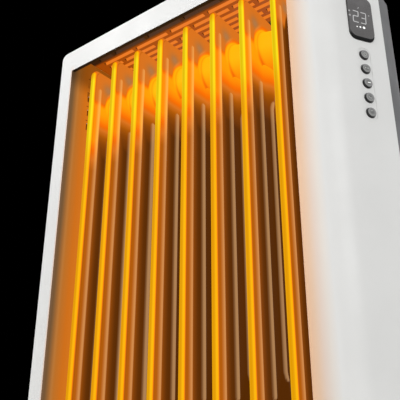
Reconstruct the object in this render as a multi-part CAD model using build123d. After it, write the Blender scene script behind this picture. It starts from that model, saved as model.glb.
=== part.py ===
from build123d import *
from math import atan2, cos, degrees, radians, sin, tan
import os

# An oil-filled radiator in a white moulded case, on four castors.
# X runs to the right along the front, Y to the back, Z up. The floor is Z = 0 and
# the origin is under the middle of the case. All sizes are in millimetres.

# Oil-filled core
fin_count = 8
fin_pitch = 48.6
fin_depth = 141.0
fin_height = 640.0
fin_corner = 8.4
fin_sheet = 1.2
rim_width = 6.4
rim_depth = 8.0
rim_chamfer = 1.6
rim_seam_width = 0.9
rim_seam_depth = 1.4
channel_pitch = 26.6
channel_width = 9.0
channel_rise = 2.6
channel_taper = 25.0
outer_channel_drop = 30.0
inner_channel_drop = 115.0
centre_channel_drop = 136.0
hub_drop = 59.0
hub_root = 31.5
hub_neck = 28.0
hub_cap_reach = 13.0
tail_drop = 84.0
tail_width = 50.0
tail_tip = 12.0
tail_rise = 10.0
tail_taper = 27.0

# Small and repeated rounds are drawn with this many flats, to keep the model light
hub_flats = 12
wheel_flats = 20
button_flats = 16
pin_flats = 12
boss_flats = 8
fastener_flats = 6

# Case
bottom_bezel = 30.0
top_bezel = 41.3
left_bezel = 29.0
fin_side_gap = 30.4
fin_setback = 18.5
fin_behind_bottom = 3.0
fin_behind_top = 1.3
frame_depth = 22.0
soffit_depth = 6.0
wall = 2.8
case_corner = 13.0
front_edge = 2.1
seam = 0.3
rib = 1.6
rib_spacing = 160.0

# Control housing at the right end
end_flat = 20.0
end_radius = 40.0
panel_angle = 58.3
panel_width = 65.0
flank_step = 2.2
flank_angle = 22.5
back_radius = 30.0

# Display, lens and buttons on the oblique panel
lens_shift = 0.85
lens_drop = 136.0
lens_width = 34.6
lens_length = 62.0
lens_radius = 9.5
lens_proud = 2.2
lens_edge = 1.0
lens_ledge = 4.0
lens_clearance = 0.5
button_count = 5
button_shift = 0.3
button_drop = 51.3
button_pitch = 19.1
button_radius = 5.7
button_proud = 2.6
button_lip = 1.2
button_travel = 0.8
button_clearance = 0.4
button_flange = 1.6
button_flange_overhang = 1.0
strip_width = 18.0
strip_margin = 10.0
strip_recess = 0.5

# Boards behind the panel
board_sheet = 1.6
board_width = 44.0
board_margin = 12.0
board_screw_inset = 6.0
carrier_bar = 4.0
carrier_rail = 7.0
post_side = 6.6
switch_side = 6.0
switch_height = 4.3
switch_gap = 0.2
power_board_width = 86.0
power_board_height = 150.0
power_board_rise = 192.0
standoff_height = 9.0
standoff_side = 6.0
relay_height = 14.0
relay_side = 16.0
relay_length = 28.0
capacitor_radius = 8.0
capacitor_length = 20.0
terminal_block_height = 13.0
terminal_block_length = 48.0

# Slotted top and side vents
grille_thick = 7.0
slot_pitch = 12.4
slot_width = 6.4
slot_gap = 7.4
slot_columns = 5
slot_margin = 19.0
slot_lean = 45.0
row_margin = 9.0
vent_width = 5.0
vent_length = 18.0
vent_row_pitch = 26.5
vent_column_pitch = 24.8
vent_rows = 4
vent_margin = 12.0
vent_top_drop = 31.0
cover_wall = 2.4

# Sheet parts
liner_sheet = 1.2
liner_flange = 14.0
tray_sheet = 1.6
tray_flange = 10.0
tray_slot_length = 34.0
tray_slot_width = 8.0
tray_slot_pitch = 30.0
tray_slot_rows = 3

# Dark cover on the rear flank
end_cover_drop = 83.0
end_cover_rise = 38.0
end_cover_depth = 37.7
end_cover_corner = 20.0
end_cover_turn = 14.0
end_cover_wall = 2.2
end_cover_tail = 34.0

# Straps that hold the core down, the saddles under it and their bolts
strap_width = 12.0
strap_sheet = 2.4
strap_gap = 0.3
strap_foot = 18.0
saddle_thick = 12.0
saddle_wall = 3.0
saddle_foot = 12.0
bolt_side = 5.0
bolt_clearance = 0.1
bolt_head = 10.0
bolt_head_height = 4.0

# Electric parts on the core and in the housing
element_flange_radius = 24.0
element_flange_thick = 6.0
terminal_spread = 11.0
terminal_side = 5.0
terminal_length = 18.0
terminal_window = 4.0
plug_radius = 9.0
plug_length = 6.0
cutout_radius = 9.0
cutout_length = 11.0
cutout_strip = 20.0
cutout_sheet = 1.0
gland_bore = 4.1
gland_radius = 8.0
gland_flange = 11.0
gland_inside = 12.0
gland_outside = 5.0
gland_shift = 25.0
gland_rise = 46.0
gland_clearance = 0.15
tilt_box_depth = 38.0
tilt_box_height = 44.0
tilt_box_width = 20.0
tilt_box_wall = 2.0
tilt_box_rise = 92.0
tilt_margin = 26.7
tilt_pin_radius = 1.5
tilt_clearance = 0.06
tilt_side = 15.0
tilt_arm = 20.0
tilt_arm_width = 6.0
tilt_thick = 9.0
tilt_eye_radius = 4.0

# Screws
screw_shank = 1.9
screw_clearance = 0.1
screw_head = 4.0
screw_head_height = 2.0
screw_length = 14.0
boss_radius = 4.5
screws_per_side = 2
screw_end_margin = 70.0

# Feet and castors
foot_width = 44.0
foot_drop = 12.0
foot_overhang = 38.0
foot_end_rise = 8.0
foot_end_gap = 1.5
foot_corner = 16.0
foot_wall = 3.0
foot_web = 5.0
foot_rib = 2.0
castor_inset = 25.0
castor_trail = 15.0
castor_boss_wall = 4.0
wheel_radius = 20.0
wheel_width = 15.0
wheel_edge = 2.5
axle_radius = 3.0
axle_clearance = 0.06
stem_radius = 4.0
stem_clearance = 0.06
stem_length = 11.0
fork_sheet = 2.2
fork_side_gap = 0.6
fork_top_gap = 3.5
fork_width = 26.0
fork_toe = 6.0

os.makedirs("parts", exist_ok=True)

# Heights, worked out from the floor up
crown_under = 2 * wheel_radius + fork_top_gap
foot_under = crown_under + fork_sheet + seam
case_bottom = foot_under + foot_drop
window_bottom = case_bottom + bottom_bezel
fin_bottom = window_bottom - fin_behind_bottom
fin_top = fin_bottom + fin_height
window_top = fin_top - fin_behind_top
case_top = window_top + top_bezel
case_height = case_top - case_bottom
window_height = window_top - window_bottom
top_hub = fin_top - hub_drop
bottom_hub = fin_bottom + hub_drop
grille_under = case_top - grille_thick
lens_height = case_top - lens_drop
button_top = lens_height - button_drop
button_middle = button_top - (button_count - 1) * button_pitch / 2

# Widths and depths
window_width = (fin_count - 1) * fin_pitch + 2 * fin_side_gap
corner_turn = end_radius * tan(radians(panel_angle / 2))
corner_x = end_radius * sin(radians(panel_angle))
corner_y = end_radius * (1 - cos(radians(panel_angle)))
panel_run_x = panel_width * cos(radians(panel_angle))
panel_run_y = panel_width * sin(radians(panel_angle))
case_width = left_bezel + window_width + end_flat + corner_x + panel_run_x
case_depth = fin_depth + 2 * fin_setback
left_x = -case_width / 2
right_x = case_width / 2
front_y = -case_depth / 2
back_y = case_depth / 2
window_left = left_x + left_bezel
window_right = window_left + window_width
first_fin = window_left + fin_side_gap
last_fin = first_fin + (fin_count - 1) * fin_pitch
panel_start = (window_right + end_flat + corner_x, front_y + corner_y)
seam_y = panel_start[1] + panel_run_y
housing_left = window_right + liner_sheet + seam
frame_back = front_y + frame_depth
inner_depth = case_depth - 2 * frame_depth - 2 * seam
inner_y = inner_depth / 2
lens_along = panel_width / 2 + lens_shift
button_along = panel_width / 2 + button_shift
gland_x = window_right + gland_shift
gland_height = case_bottom + gland_rise

# Straps, feet and castors stand in the first and the last gap between fins
strap_x = (first_fin + fin_pitch / 2, last_fin - fin_pitch / 2)
hub_slope = (hub_root - hub_neck) / (fin_pitch / 2)
strap_inside = hub_neck + hub_slope * strap_width / 2 + strap_gap
saddle_inside = hub_neck + hub_slope * saddle_thick / 2 + strap_gap
strap_side = strap_inside + strap_sheet
bolt_y = strap_side + strap_foot / 2
foot_length = case_depth + 2 * foot_overhang
castor_y = foot_length / 2 - castor_inset

# Planes behind the panel's face
button_back = -(wall + button_flange)
switch_plane = button_back - button_travel - switch_gap
board_plane = switch_plane - switch_height

# The oblique panel's own plane: x along the panel, y up, z outwards
panel = Plane(
    origin=(panel_start[0], panel_start[1], 0),
    x_dir=(cos(radians(panel_angle)), sin(radians(panel_angle)), 0),
    z_dir=(sin(radians(panel_angle)), -cos(radians(panel_angle)), 0),
)


def block(x0, x1, y0, y1, z0, z1):
    """A box from its lower and upper limits."""
    middle = ((x0 + x1) / 2, (y0 + y1) / 2, (z0 + z1) / 2)
    return Pos(*middle) * Box(x1 - x0, y1 - y0, z1 - z0)


def bar(start, direction, radius, length, flats, taper=0.0):
    """A bar with flats from a start point along a direction, sized across its corners."""
    place = Plane(origin=start, z_dir=direction)
    return extrude(place * RegularPolygon(radius, flats), length, taper=taper)


def sleeve(start, direction, radius, length, flats):
    """The space for a bar with flats, sized across its flats."""
    place = Plane(origin=start, z_dir=direction)
    return extrude(place * RegularPolygon(radius, flats, major_radius=False), length)


def rod(start, direction, radius, length):
    """A round bar from a start point along a direction."""
    place = Plane(origin=start, z_dir=direction)
    return extrude(place * Circle(radius), length)


def save(shape, name):
    """Write one sub-part to its own file."""
    export_step(shape, f"parts/{name}.step")


def group(solids):
    """Separate solids that share one node."""
    return Compound(children=list(solids))


def flat_face(points):
    """A closed flat face through the given points."""
    return make_face(Polyline(*points, close=True))


def vertex_near(face, point):
    """The corner of a face that lies nearest to a point."""
    return face.vertices().sort_by_distance((point[0], point[1], 0))[0]


# Front and rear frames

def front_plan(inset=0.0, past=0.0):
    """Plan of the front frame, inset from its outer skin and run past its open side."""
    y0 = front_y + inset
    bend = (window_right + end_flat + corner_turn - inset * tan(radians(panel_angle / 2)), y0)
    reach = (seam_y - y0) / tan(radians(panel_angle))
    points = [
        (left_x + inset, frame_back + past),
        (left_x + inset, y0),
        bend,
        (bend[0] + reach, seam_y),
        (bend[0] + reach, seam_y + past),
        (housing_left - past, seam_y + past),
        (housing_left - past, frame_back + past),
    ]
    if past == 0:
        points.pop(4)
    face = flat_face(points)
    return fillet(vertex_near(face, bend), end_radius - inset)


def rear_plan(inset=0.0, past=0.0):
    """Plan of the rear frame, inset from its outer skin and run past its open side."""
    y0 = back_y - inset
    start_y = seam_y + seam
    slope = tan(radians(flank_angle))
    skin = (right_x - flank_step) - slope * (back_y - start_y)
    shift = inset * (1 - sin(radians(flank_angle))) / cos(radians(flank_angle))
    bend = (skin - shift, y0)
    start_x = bend[0] + slope * (y0 - start_y)
    points = [
        (left_x + inset, -frame_back - past),
        (left_x + inset, y0),
        bend,
        (start_x, start_y),
        (start_x, start_y - past),
        (housing_left - past, start_y - past),
        (housing_left - past, -frame_back - past),
    ]
    if past == 0:
        points.pop(4)
    face = flat_face(points)
    return fillet(vertex_near(face, bend), back_radius - inset)


def round_left_corners(body, inset=0.0):
    """Round the two depthwise edges at the left end of a frame's block."""
    x = left_x + inset
    edges = [e for e in body.edges().filter_by(Axis.Y) if abs(e.center().X - x) < 0.01]
    return fillet(edges, case_corner - inset)


def outline_edges(body, sign):
    """Outer edges of the front, corner and panel faces; sign is -1 at the front."""
    faces = [f for f in body.faces() if f.normal_at(f.center()).Y * sign > 0.2]
    edges = []
    for face in faces:
        for edge in face.edges():
            upright = abs(edge.tangent_at(0).Z) > 0.99 and edge.geom_type == GeomType.LINE
            if upright and edge.center().X > left_x + 1:
                continue
            if abs(edge.center().Y * sign) < abs(frame_back) + 0.01 and upright:
                continue
            flat = abs(edge.tangent_at(0).Z) < 0.01
            if flat and case_bottom + 0.1 < edge.center().Z < case_top - 0.1:
                continue
            edges.append(edge)
    return edges


def window_block(y0, y1, grow=0.0):
    """The window's own space between two depths, grown by a wall if asked."""
    return block(window_left - grow, window_right + grow, y0, y1,
                 window_bottom - grow, window_top + grow)


def screw_heights():
    """Heights of the screws along each side of the window."""
    low = window_bottom + screw_end_margin
    step = (window_height - 2 * screw_end_margin) / (screws_per_side - 1)
    return [low + step * i for i in range(screws_per_side)]


def screw_columns():
    """X of the screw columns left and right of the window."""
    offset = (liner_flange + liner_sheet) / 2
    return (window_left - offset, window_right + offset)


def frame_ribs(y0, y1):
    """Cross ribs inside the hollow bars round the window."""
    ribs = []
    count = int(window_height // rib_spacing)
    for i in range(count):
        z = window_bottom + window_height * (i + 1) / (count + 1)
        ribs.append(block(left_x + wall / 2, window_left - wall / 2, y0, y1, z - rib / 2, z + rib / 2))
    count = int(window_width // rib_spacing)
    for i in range(count):
        x = window_left + window_width * (i + 1) / (count + 1)
        for z0, z1 in ((window_top, case_top), (case_bottom, window_bottom)):
            ribs.append(block(x - rib / 2, x + rib / 2, y0, y1, z0 + wall / 2, z1 - wall / 2))
    return ribs


def hollow_frame(plan, sign):
    """A moulded frame: skin, hollow bars round the window, ribs and screw bosses."""
    outer = Pos(0, 0, case_bottom) * extrude(plan(), case_height)
    outer = round_left_corners(outer)
    outer = chamfer(outline_edges(outer, sign), front_edge)
    cavity = Pos(0, 0, case_bottom + wall) * extrude(plan(wall, 1.0), case_height - 2 * wall)
    cavity = round_left_corners(cavity, wall)
    face_y = sign * case_depth / 2
    open_y = sign * (case_depth / 2 - frame_depth)
    inside_y = face_y - sign * wall / 2
    trim = Pos(0, 0, case_bottom + wall / 2) * extrude(plan(wall / 2), case_height - wall)
    body = outer - cavity
    body += window_block(*sorted((face_y, open_y)), wall) & trim
    body += frame_ribs(*sorted((inside_y, open_y)))
    for x in screw_columns():
        for z in screw_heights():
            body += bar((x, inside_y, z), (0, -sign, 0), boss_radius, frame_depth - wall / 2, fastener_flats)
    return body - window_block(-case_depth, case_depth)


def front_frame():
    """Front moulding: window, rounded corner and oblique panel with its openings."""
    body = hollow_frame(front_plan, -1)
    for x in (window_left - wall / 2, window_right + wall / 2):
        body += block(x - wall / 2, x + wall / 2, front_y + wall / 2, frame_back,
                      window_top, case_top - wall / 2)
    # The window's top wall is shallow, so that the slots above show from the front
    body -= block(window_left, window_right, front_y + soffit_depth, frame_back + seam,
                  window_top - seam, grille_under)
    for x in screw_columns():
        for z in screw_heights():
            body -= bar((x, frame_back, z), (0, -1, 0), screw_shank + screw_clearance,
                        screw_length, fastener_flats)
    for x, z in carrier_posts():
        post = panel * Pos(x, z, -wall / 2) * Rectangle(post_side, post_side)
        body += extrude(post, board_plane + carrier_bar + wall / 2)
        hole = panel * Pos(x, z, board_plane) * RegularPolygon(screw_shank + screw_clearance, fastener_flats)
        body -= extrude(hole, -board_plane - wall)
    lens_at = panel * Pos(lens_along, lens_height)
    opening = Rectangle(lens_width - 2 * lens_ledge, lens_length - 2 * lens_ledge)
    body -= extrude(lens_at * opening, 2 * wall, both=True)
    seat = RectangleRounded(lens_width + 2 * lens_clearance, lens_length + 2 * lens_clearance,
                            lens_radius + lens_clearance)
    body -= extrude(lens_at * Pos(0, 0, -wall / 2) * seat, 2 * wall)
    strip_length = (button_count - 1) * button_pitch + 2 * strip_margin
    strip = RectangleRounded(strip_width, strip_length, strip_width / 2 - seam)
    body -= extrude(panel * Pos(button_along, button_middle, -strip_recess) * strip, 2 * wall)
    hole = RegularPolygon(button_radius + button_clearance, button_flats)
    for z in button_heights():
        body -= extrude(panel * Pos(button_along, z) * hole, 2 * wall, both=True)
    return body


def rear_frame():
    """Rear moulding: window, rear flank of the housing, screw holes and cord inlet."""
    body = hollow_frame(rear_plan, 1)
    for x in screw_columns():
        for z in screw_heights():
            body -= bar((x, -frame_back - 1, z), (0, 1, 0), screw_shank + screw_clearance,
                        2 * frame_depth, fastener_flats)
            body -= bar((x, back_y - wall / 2, z), (0, 1, 0), screw_head + 2 * screw_clearance,
                        2 * wall, boss_flats)
    body -= bar((gland_x, back_y - 2 * wall, gland_height), (0, 1, 0), gland_radius + gland_clearance,
                4 * wall, pin_flats)
    return body


# Controls on the oblique panel

def button_heights():
    """Height of each button's centre, from the top one down."""
    return [button_top - button_pitch * i for i in range(button_count)]


def display_lens():
    """Glossy lens that sits in the panel's stepped opening, with a bevelled rim."""
    place = panel * Pos(lens_along, lens_height, -wall / 2)
    lens = extrude(place * RectangleRounded(lens_width, lens_length, lens_radius), wall / 2 + lens_proud)
    rim = [e for e in lens.edges() if panel.to_local_coords(e).center().Z > lens_proud - 0.01]
    return chamfer(rim, lens_edge)


def display_module():
    """Segment display block that fills the space between the lens and the control board."""
    place = panel * Pos(lens_along, lens_height, board_plane)
    width = lens_width - 2 * lens_ledge - 2 * seam
    length = lens_length - 2 * lens_ledge - 2 * seam
    return extrude(place * Rectangle(width, length), -board_plane - wall / 2 - seam)


def push_button(z):
    """Cap with a bevelled face, through the panel, and a square retaining flange behind it."""
    cap = extrude(panel * Pos(button_along, z, button_back) * RegularPolygon(button_radius, button_flats),
                  button_proud - button_back)
    rim = [e for e in cap.edges() if panel.to_local_coords(e).center().Z > button_proud - 0.01]
    cap = chamfer(rim, button_lip)
    side = 2 * (button_radius + button_clearance + button_flange_overhang)
    flange = panel * Pos(button_along, z, button_back) * Rectangle(side, side)
    return cap + extrude(flange, button_flange - seam)


def tact_switches():
    """One square push switch on the board behind each button."""
    switches = []
    for z in button_heights():
        place = panel * Pos(button_along, z, board_plane)
        switches.append(extrude(place * Rectangle(switch_side, switch_side), switch_height))
    return group(switches)


def board_span():
    """Lower and upper end of the control board."""
    low = button_heights()[-1] - button_radius - board_margin
    high = lens_height + lens_length / 2 + board_margin
    return low, high


def carrier_posts():
    """Places of the four posts that carry the control board, on the panel."""
    low, high = board_span()
    across = board_width / 2 - carrier_rail / 2
    return [(lens_along + side * across, z) for side in (-1, 1)
            for z in (low + board_screw_inset, high - board_screw_inset)]


def drill_for_posts(body):
    """The same body with a screw hole through it at each post."""
    for x, z in carrier_posts():
        hole = panel * Pos(x, z, board_plane) * RegularPolygon(screw_shank + screw_clearance, fastener_flats)
        body -= extrude(hole, 2 * carrier_bar, both=True)
    return body


def control_board():
    """Circuit board behind the panel, drilled for its screws."""
    low, high = board_span()
    place = panel * Pos(lens_along, (low + high) / 2, board_plane)
    return drill_for_posts(extrude(place * Rectangle(board_width, high - low), -board_sheet))


def board_carrier():
    """Open moulded frame between the board and the panel's posts."""
    low, high = board_span()
    place = panel * Pos(lens_along, (low + high) / 2, board_plane)
    frame = Rectangle(board_width, high - low)
    frame -= Rectangle(board_width - 2 * carrier_rail, high - low - 4 * board_screw_inset)
    return drill_for_posts(extrude(place * frame, carrier_bar))


def board_screws():
    """Screws through the control board and its carrier into the panel's posts."""
    screws = []
    for x, z in carrier_posts():
        at = panel * Pos(x, z, board_plane - board_sheet)
        head = extrude(at * RegularPolygon(screw_head, fastener_flats), -screw_head_height)
        shank = at * RegularPolygon(screw_shank, fastener_flats)
        screws.append(head + extrude(shank, board_sheet - board_plane - wall - seam))
    return group(screws)


# Oil-filled core

def rim_plan():
    """Plan of a fin: two welded sheets that fold into a thicker rim at the front and the back."""
    plan = Rectangle(2 * fin_sheet, fin_depth - rim_depth)
    rim = Rectangle(rim_width, rim_depth)
    rim = chamfer([v for v in rim.vertices() if v.Y < 0], rim_chamfer)
    for turn in (0, 180):
        plan += Rot(0, 0, turn) * Pos(0, (rim_depth - fin_depth) / 2) * rim
    return plan


def fin_outline():
    """Side view of a fin, with its corners cut off."""
    outline = chamfer(Rectangle(fin_depth, fin_height).vertices(), fin_corner)
    return Plane.YZ * Pos(0, fin_bottom + fin_height / 2) * outline


def channel_drops():
    """Offset from the fin's middle and drop from its top for each oil channel."""
    return [
        (-2 * channel_pitch, outer_channel_drop),
        (-channel_pitch, inner_channel_drop),
        (0, centre_channel_drop),
        (channel_pitch, inner_channel_drop),
        (2 * channel_pitch, outer_channel_drop),
    ]


def tail_outline():
    """Tapered tail that leads the oil from a hub into the centre channel."""
    top = hub_root / 2
    return flat_face([(-tail_width / 2, -top), (-tail_tip / 2, -tail_drop),
                      (tail_tip / 2, -tail_drop), (tail_width / 2, -top)])


def pressed_shapes(side):
    """Channels and hub tails pressed out of one flank of a fin; side is -1 or 1."""
    face = Plane(origin=(side * fin_sheet / 2, 0, fin_bottom + fin_height / 2),
                 x_dir=(0, side, 0), z_dir=(side, 0, 0))
    shapes = []
    for offset, drop in channel_drops():
        channel = face * Pos(offset, 0) * Rectangle(channel_width, fin_height - 2 * drop)
        shapes.append(extrude(channel, fin_sheet / 2 + channel_rise, taper=channel_taper))
    for turn in (0, 180):
        tail = face * Rot(0, 0, turn) * Pos(0, fin_height / 2 - hub_drop) * tail_outline()
        shapes.append(extrude(tail, fin_sheet / 2 + tail_rise, taper=tail_taper))
    return shapes


def oil_hubs(side, reach):
    """The two drums on one flank, which narrow towards the weld with the next fin's drums."""
    taper = degrees(atan2(hub_root - hub_neck, fin_pitch / 2))
    return [bar((0, 0, z), (side, 0, 0), hub_root, reach, hub_flats, taper) for z in (bottom_hub, top_hub)]


def oil_fin(left_reach, right_reach):
    """One fin of two welded sheets with rims, channels, tails and hubs."""
    body = Pos(0, 0, fin_bottom) * extrude(rim_plan(), fin_height)
    body &= extrude(fin_outline(), rim_width, both=True)
    for side in (-1, 1):
        edge_y = side * fin_depth / 2
        body -= block(-rim_seam_width / 2, rim_seam_width / 2, edge_y - rim_seam_depth,
                      edge_y + rim_seam_depth, fin_bottom + fin_corner, fin_top - fin_corner)
    body += pressed_shapes(-1) + pressed_shapes(1)
    return body + oil_hubs(-1, left_reach) + oil_hubs(1, right_reach)


def oil_fins():
    """All the fins; inner hubs meet half-way between fins and the end ones are capped."""
    half = fin_pitch / 2
    inner = oil_fin(half, half)
    fins = [oil_fin(hub_cap_reach, half)] + [inner] * (fin_count - 2) + [oil_fin(half, hub_cap_reach)]
    return [Pos(first_fin + fin_pitch * i, 0, 0) * fin for i, fin in enumerate(fins)]


def filler_plug():
    """Hexagon plug on the end of the top hub, where the oil goes in."""
    return bar((first_fin - hub_cap_reach, 0, top_hub), (-1, 0, 0), plug_radius, plug_length, fastener_flats)


def heating_element():
    """Flange on the end of the bottom hub that carries the element and its two terminals."""
    x = last_fin + hub_cap_reach
    body = bar((x, 0, bottom_hub), (1, 0, 0), element_flange_radius, element_flange_thick, boss_flats)
    face = x + element_flange_thick
    half = terminal_side / 2
    for y in (-terminal_spread, terminal_spread):
        body += block(face, face + terminal_length, y - half, y + half, bottom_hub - half, bottom_hub + half)
    return body


def thermal_cutout():
    """Cut-out pressed to the end of the top hub by a flat strip."""
    x = last_fin + hub_cap_reach
    body = block(x, x + cutout_sheet, -cutout_radius, cutout_radius,
                 top_hub - cutout_strip, top_hub + cutout_strip)
    return body + bar((x, 0, top_hub), (1, 0, 0), cutout_radius, cutout_length, boss_flats)


def arch(radius, low):
    """End view of a shape with a faceted half-round top and straight sides down to a height."""
    top = RegularPolygon(radius, pin_flats, major_radius=False, rotation=180 / pin_flats)
    legs = Pos(0, (low - bottom_hub) / 2) * Rectangle(2 * radius, bottom_hub - low)
    return top + legs


def hold_down_straps():
    """Bent straps over the bottom hubs, with two drilled feet on the tray."""
    straps = []
    base = case_bottom + tray_sheet
    for x in strap_x:
        place = Plane(origin=(x - strap_width / 2, 0, bottom_hub), x_dir=(0, 1, 0), z_dir=(1, 0, 0))
        feet = Rectangle(2 * (strap_side + strap_foot), strap_sheet)
        feet = Pos(0, base + strap_sheet / 2 - bottom_hub) * feet
        profile = arch(strap_side, base) + feet - arch(strap_inside, base - strap_sheet)
        strap = extrude(place * profile, strap_width)
        for y in (-bolt_y, bolt_y):
            strap -= bolt_space(x, y)
        straps.append(strap)
    return group(straps)


def bolt_space(x, y):
    """Square hole for a hold-down bolt."""
    half = bolt_side / 2 + bolt_clearance
    return block(x - half, x + half, y - half, y + half, 0, case_bottom + 4 * strap_sheet)


def hold_down_bolts():
    """Bolts through strap, tray and foot, each with its head on top and its nut below."""
    bolts = []
    low = case_bottom - foot_web
    high = case_bottom + tray_sheet + strap_sheet
    half = bolt_side / 2
    for x in strap_x:
        for y in (-bolt_y, bolt_y):
            bolt = block(x - half, x + half, y - half, y + half, low - bolt_head_height, high)
            bolt += bar((x, y, high), (0, 0, 1), bolt_head / 2, bolt_head_height, fastener_flats)
            bolt += bar((x, y, low), (0, 0, -1), bolt_head / 2, bolt_head_height, fastener_flats)
            bolts.append(bolt)
    return group(bolts)


def core_saddles():
    """Cradles on the tray, notched to the bottom hubs that sit in them."""
    saddles = []
    base = case_bottom + tray_sheet
    half = strap_inside - seam
    for x in strap_x:
        near = x - saddle_thick / 2
        body = block(near, near + saddle_thick, -half, half, base, bottom_hub - saddle_inside / 2)
        body -= sleeve((near - 1, 0, bottom_hub), (1, 0, 0), saddle_inside, saddle_thick + 2, pin_flats)
        body += block(x - saddle_foot, x + saddle_foot, -half, half, base, base + saddle_wall)
        saddles.append(body)
    return group(saddles)


# Casing between the frames

def centred_rows(depth, pitch, width):
    """Offsets of as many rows as fit in a depth, about its middle."""
    count = int((depth - width) // pitch) + 1
    return [(i - (count - 1) / 2) * pitch for i in range(count)]


def top_grille():
    """Top panel with rows of leaning slots, every other row shifted by half a slot."""
    body = block(window_left + seam, window_right + liner_sheet, -inner_y, inner_y, grille_under, case_top)
    start = window_left + slot_margin
    end = window_right - slot_margin
    cell = (end - start + slot_gap) / slot_columns
    rise = 2 * grille_thick
    drift = rise * tan(radians(slot_lean))
    half = slot_width / 2
    for row, middle in enumerate(centred_rows(inner_depth - 2 * row_margin, slot_pitch, slot_width)):
        side = [(-half, 0), (half, 0), (half - drift, rise), (-half - drift, rise)]
        place = Plane(origin=(0, middle + drift / 2, grille_under - grille_thick / 2),
                      x_dir=(0, 1, 0), z_dir=(1, 0, 0))
        profile = flat_face(side)
        shift = cell / 2 if row % 2 == 0 else 0
        for column in range(slot_columns + 1):
            x0 = max(start + cell * column - shift, start)
            x1 = min(start + cell * (column + 1) - slot_gap - shift, end)
            if x1 > x0:
                body -= extrude(place * Pos(0, 0, x0) * profile, x1 - x0)
    return body


def vent_cutters(x0, x1):
    """Upright vent slots of the left side, every other column shifted by half a pitch."""
    cutters = []
    columns = centred_rows(inner_depth - 2 * vent_margin, vent_column_pitch, vent_width)
    for number, y in enumerate(columns):
        top = grille_under - vent_top_drop - (vent_row_pitch / 2 if number % 2 else 0)
        for row in range(vent_rows):
            z = top - vent_row_pitch * row
            cutters.append(block(x0, x1, y - vent_width / 2, y + vent_width / 2, z - vent_length, z))
    return cutters


def left_cover():
    """Outer left wall, wrapped round the case's corners and slotted near the top."""
    side = Plane.XZ * Pos(window_left, (case_bottom + case_top) / 2)
    outer = RectangleRounded(2 * left_bezel, case_height, case_corner)
    inner = RectangleRounded(2 * (left_bezel - cover_wall), case_height - 2 * cover_wall,
                             case_corner - cover_wall)
    body = extrude(side * (outer - inner), inner_y, both=True)
    body -= block(window_left, window_left + 2 * left_bezel, -case_depth, case_depth, 0, case_top + wall)
    return body - vent_cutters(left_x - wall, left_x + 2 * cover_wall)


def liner(face_x, out, low):
    """Bent sheet wall: a web with two flanges turned outwards; out is -1 or 1."""
    top = grille_under - seam
    body = block(*sorted((face_x, face_x + out * liner_flange)), -inner_y, inner_y, low, top)
    body -= block(*sorted((face_x + out * liner_sheet, face_x + 2 * out * liner_flange)),
                  liner_sheet - inner_y, inner_y - liner_sheet, 0, case_top)
    for x in screw_columns():
        for z in screw_heights():
            body -= bar((x, -case_depth, z), (0, 1, 0), screw_shank + screw_clearance,
                        2 * case_depth, fastener_flats)
    return body


def left_liner():
    """Slotted sheet wall between the first fin and the left column."""
    body = liner(window_left, -1, case_bottom + cover_wall + seam)
    return body - vent_cutters(window_left - 2 * liner_sheet, window_left + liner_sheet)


def right_liner():
    """Heat shield between the last fin and the controls, open where the terminals pass."""
    body = liner(window_right, 1, case_bottom + tray_flange + seam)
    across = terminal_spread + terminal_side / 2 + terminal_window
    up = terminal_side / 2 + terminal_window
    return body - block(window_right - liner_sheet, window_right + 2 * liner_sheet, -across, across,
                        bottom_hub - up, bottom_hub + up)


def base_tray():
    """Bottom sheet tray with air slots under the fins' gaps and holes for the bolts."""
    x0, x1 = window_left + seam, window_right + liner_sheet
    body = block(x0, x1, -inner_y, inner_y, case_bottom, case_bottom + tray_flange)
    body -= block(x0 - 1, x1 + 1, tray_sheet - inner_y, inner_y - tray_sheet,
                  case_bottom + tray_sheet, case_top)
    for gap in range(1, fin_count - 2):
        x = first_fin + (gap + 0.5) * fin_pitch
        for row in range(tray_slot_rows):
            y = (row - (tray_slot_rows - 1) / 2) * tray_slot_pitch
            body -= block(x - tray_slot_length / 2, x + tray_slot_length / 2, y - tray_slot_width / 2,
                          y + tray_slot_width / 2, 0, case_bottom + 2 * tray_sheet)
    for x in strap_x:
        for y in (-bolt_y, bolt_y):
            body -= bolt_space(x, y)
    return body


def end_cover_plan(inset=0.0, past=0.0):
    """Plan of the dark cover: flat outside, turned in at the back along the flank."""
    low_y = seam_y + seam
    slope = tan(radians(flank_angle))
    start_x = right_x - flank_step + seam / cos(radians(flank_angle)) - past
    outer_x = right_x - inset
    turn_y = seam_y + end_cover_depth
    back = turn_y + end_cover_tail - inset
    face = flat_face([(start_x, low_y + inset), (outer_x, low_y + inset), (outer_x, turn_y),
                      (start_x - slope * (back - low_y - inset), back)])
    return fillet(vertex_near(face, (outer_x, turn_y)), end_cover_turn)


def end_cover():
    """Dark cover on the rear flank, with rounded rear corners and a hollow inside."""
    low = case_bottom + end_cover_rise
    high = case_top - end_cover_drop
    back = seam_y + end_cover_depth + end_cover_tail
    body = Pos(0, 0, low) * extrude(end_cover_plan(), high - low)
    side = Plane.YZ * Pos(back - case_depth, (low + high) / 2)
    body &= extrude(side * RectangleRounded(2 * case_depth, high - low, end_cover_corner), 2 * right_x)
    margin = end_cover_corner
    hollow = Pos(0, 0, low + margin) * extrude(end_cover_plan(end_cover_wall, wall), high - low - 2 * margin)
    return body - hollow


# Boards, switch and inlet in the control housing

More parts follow.
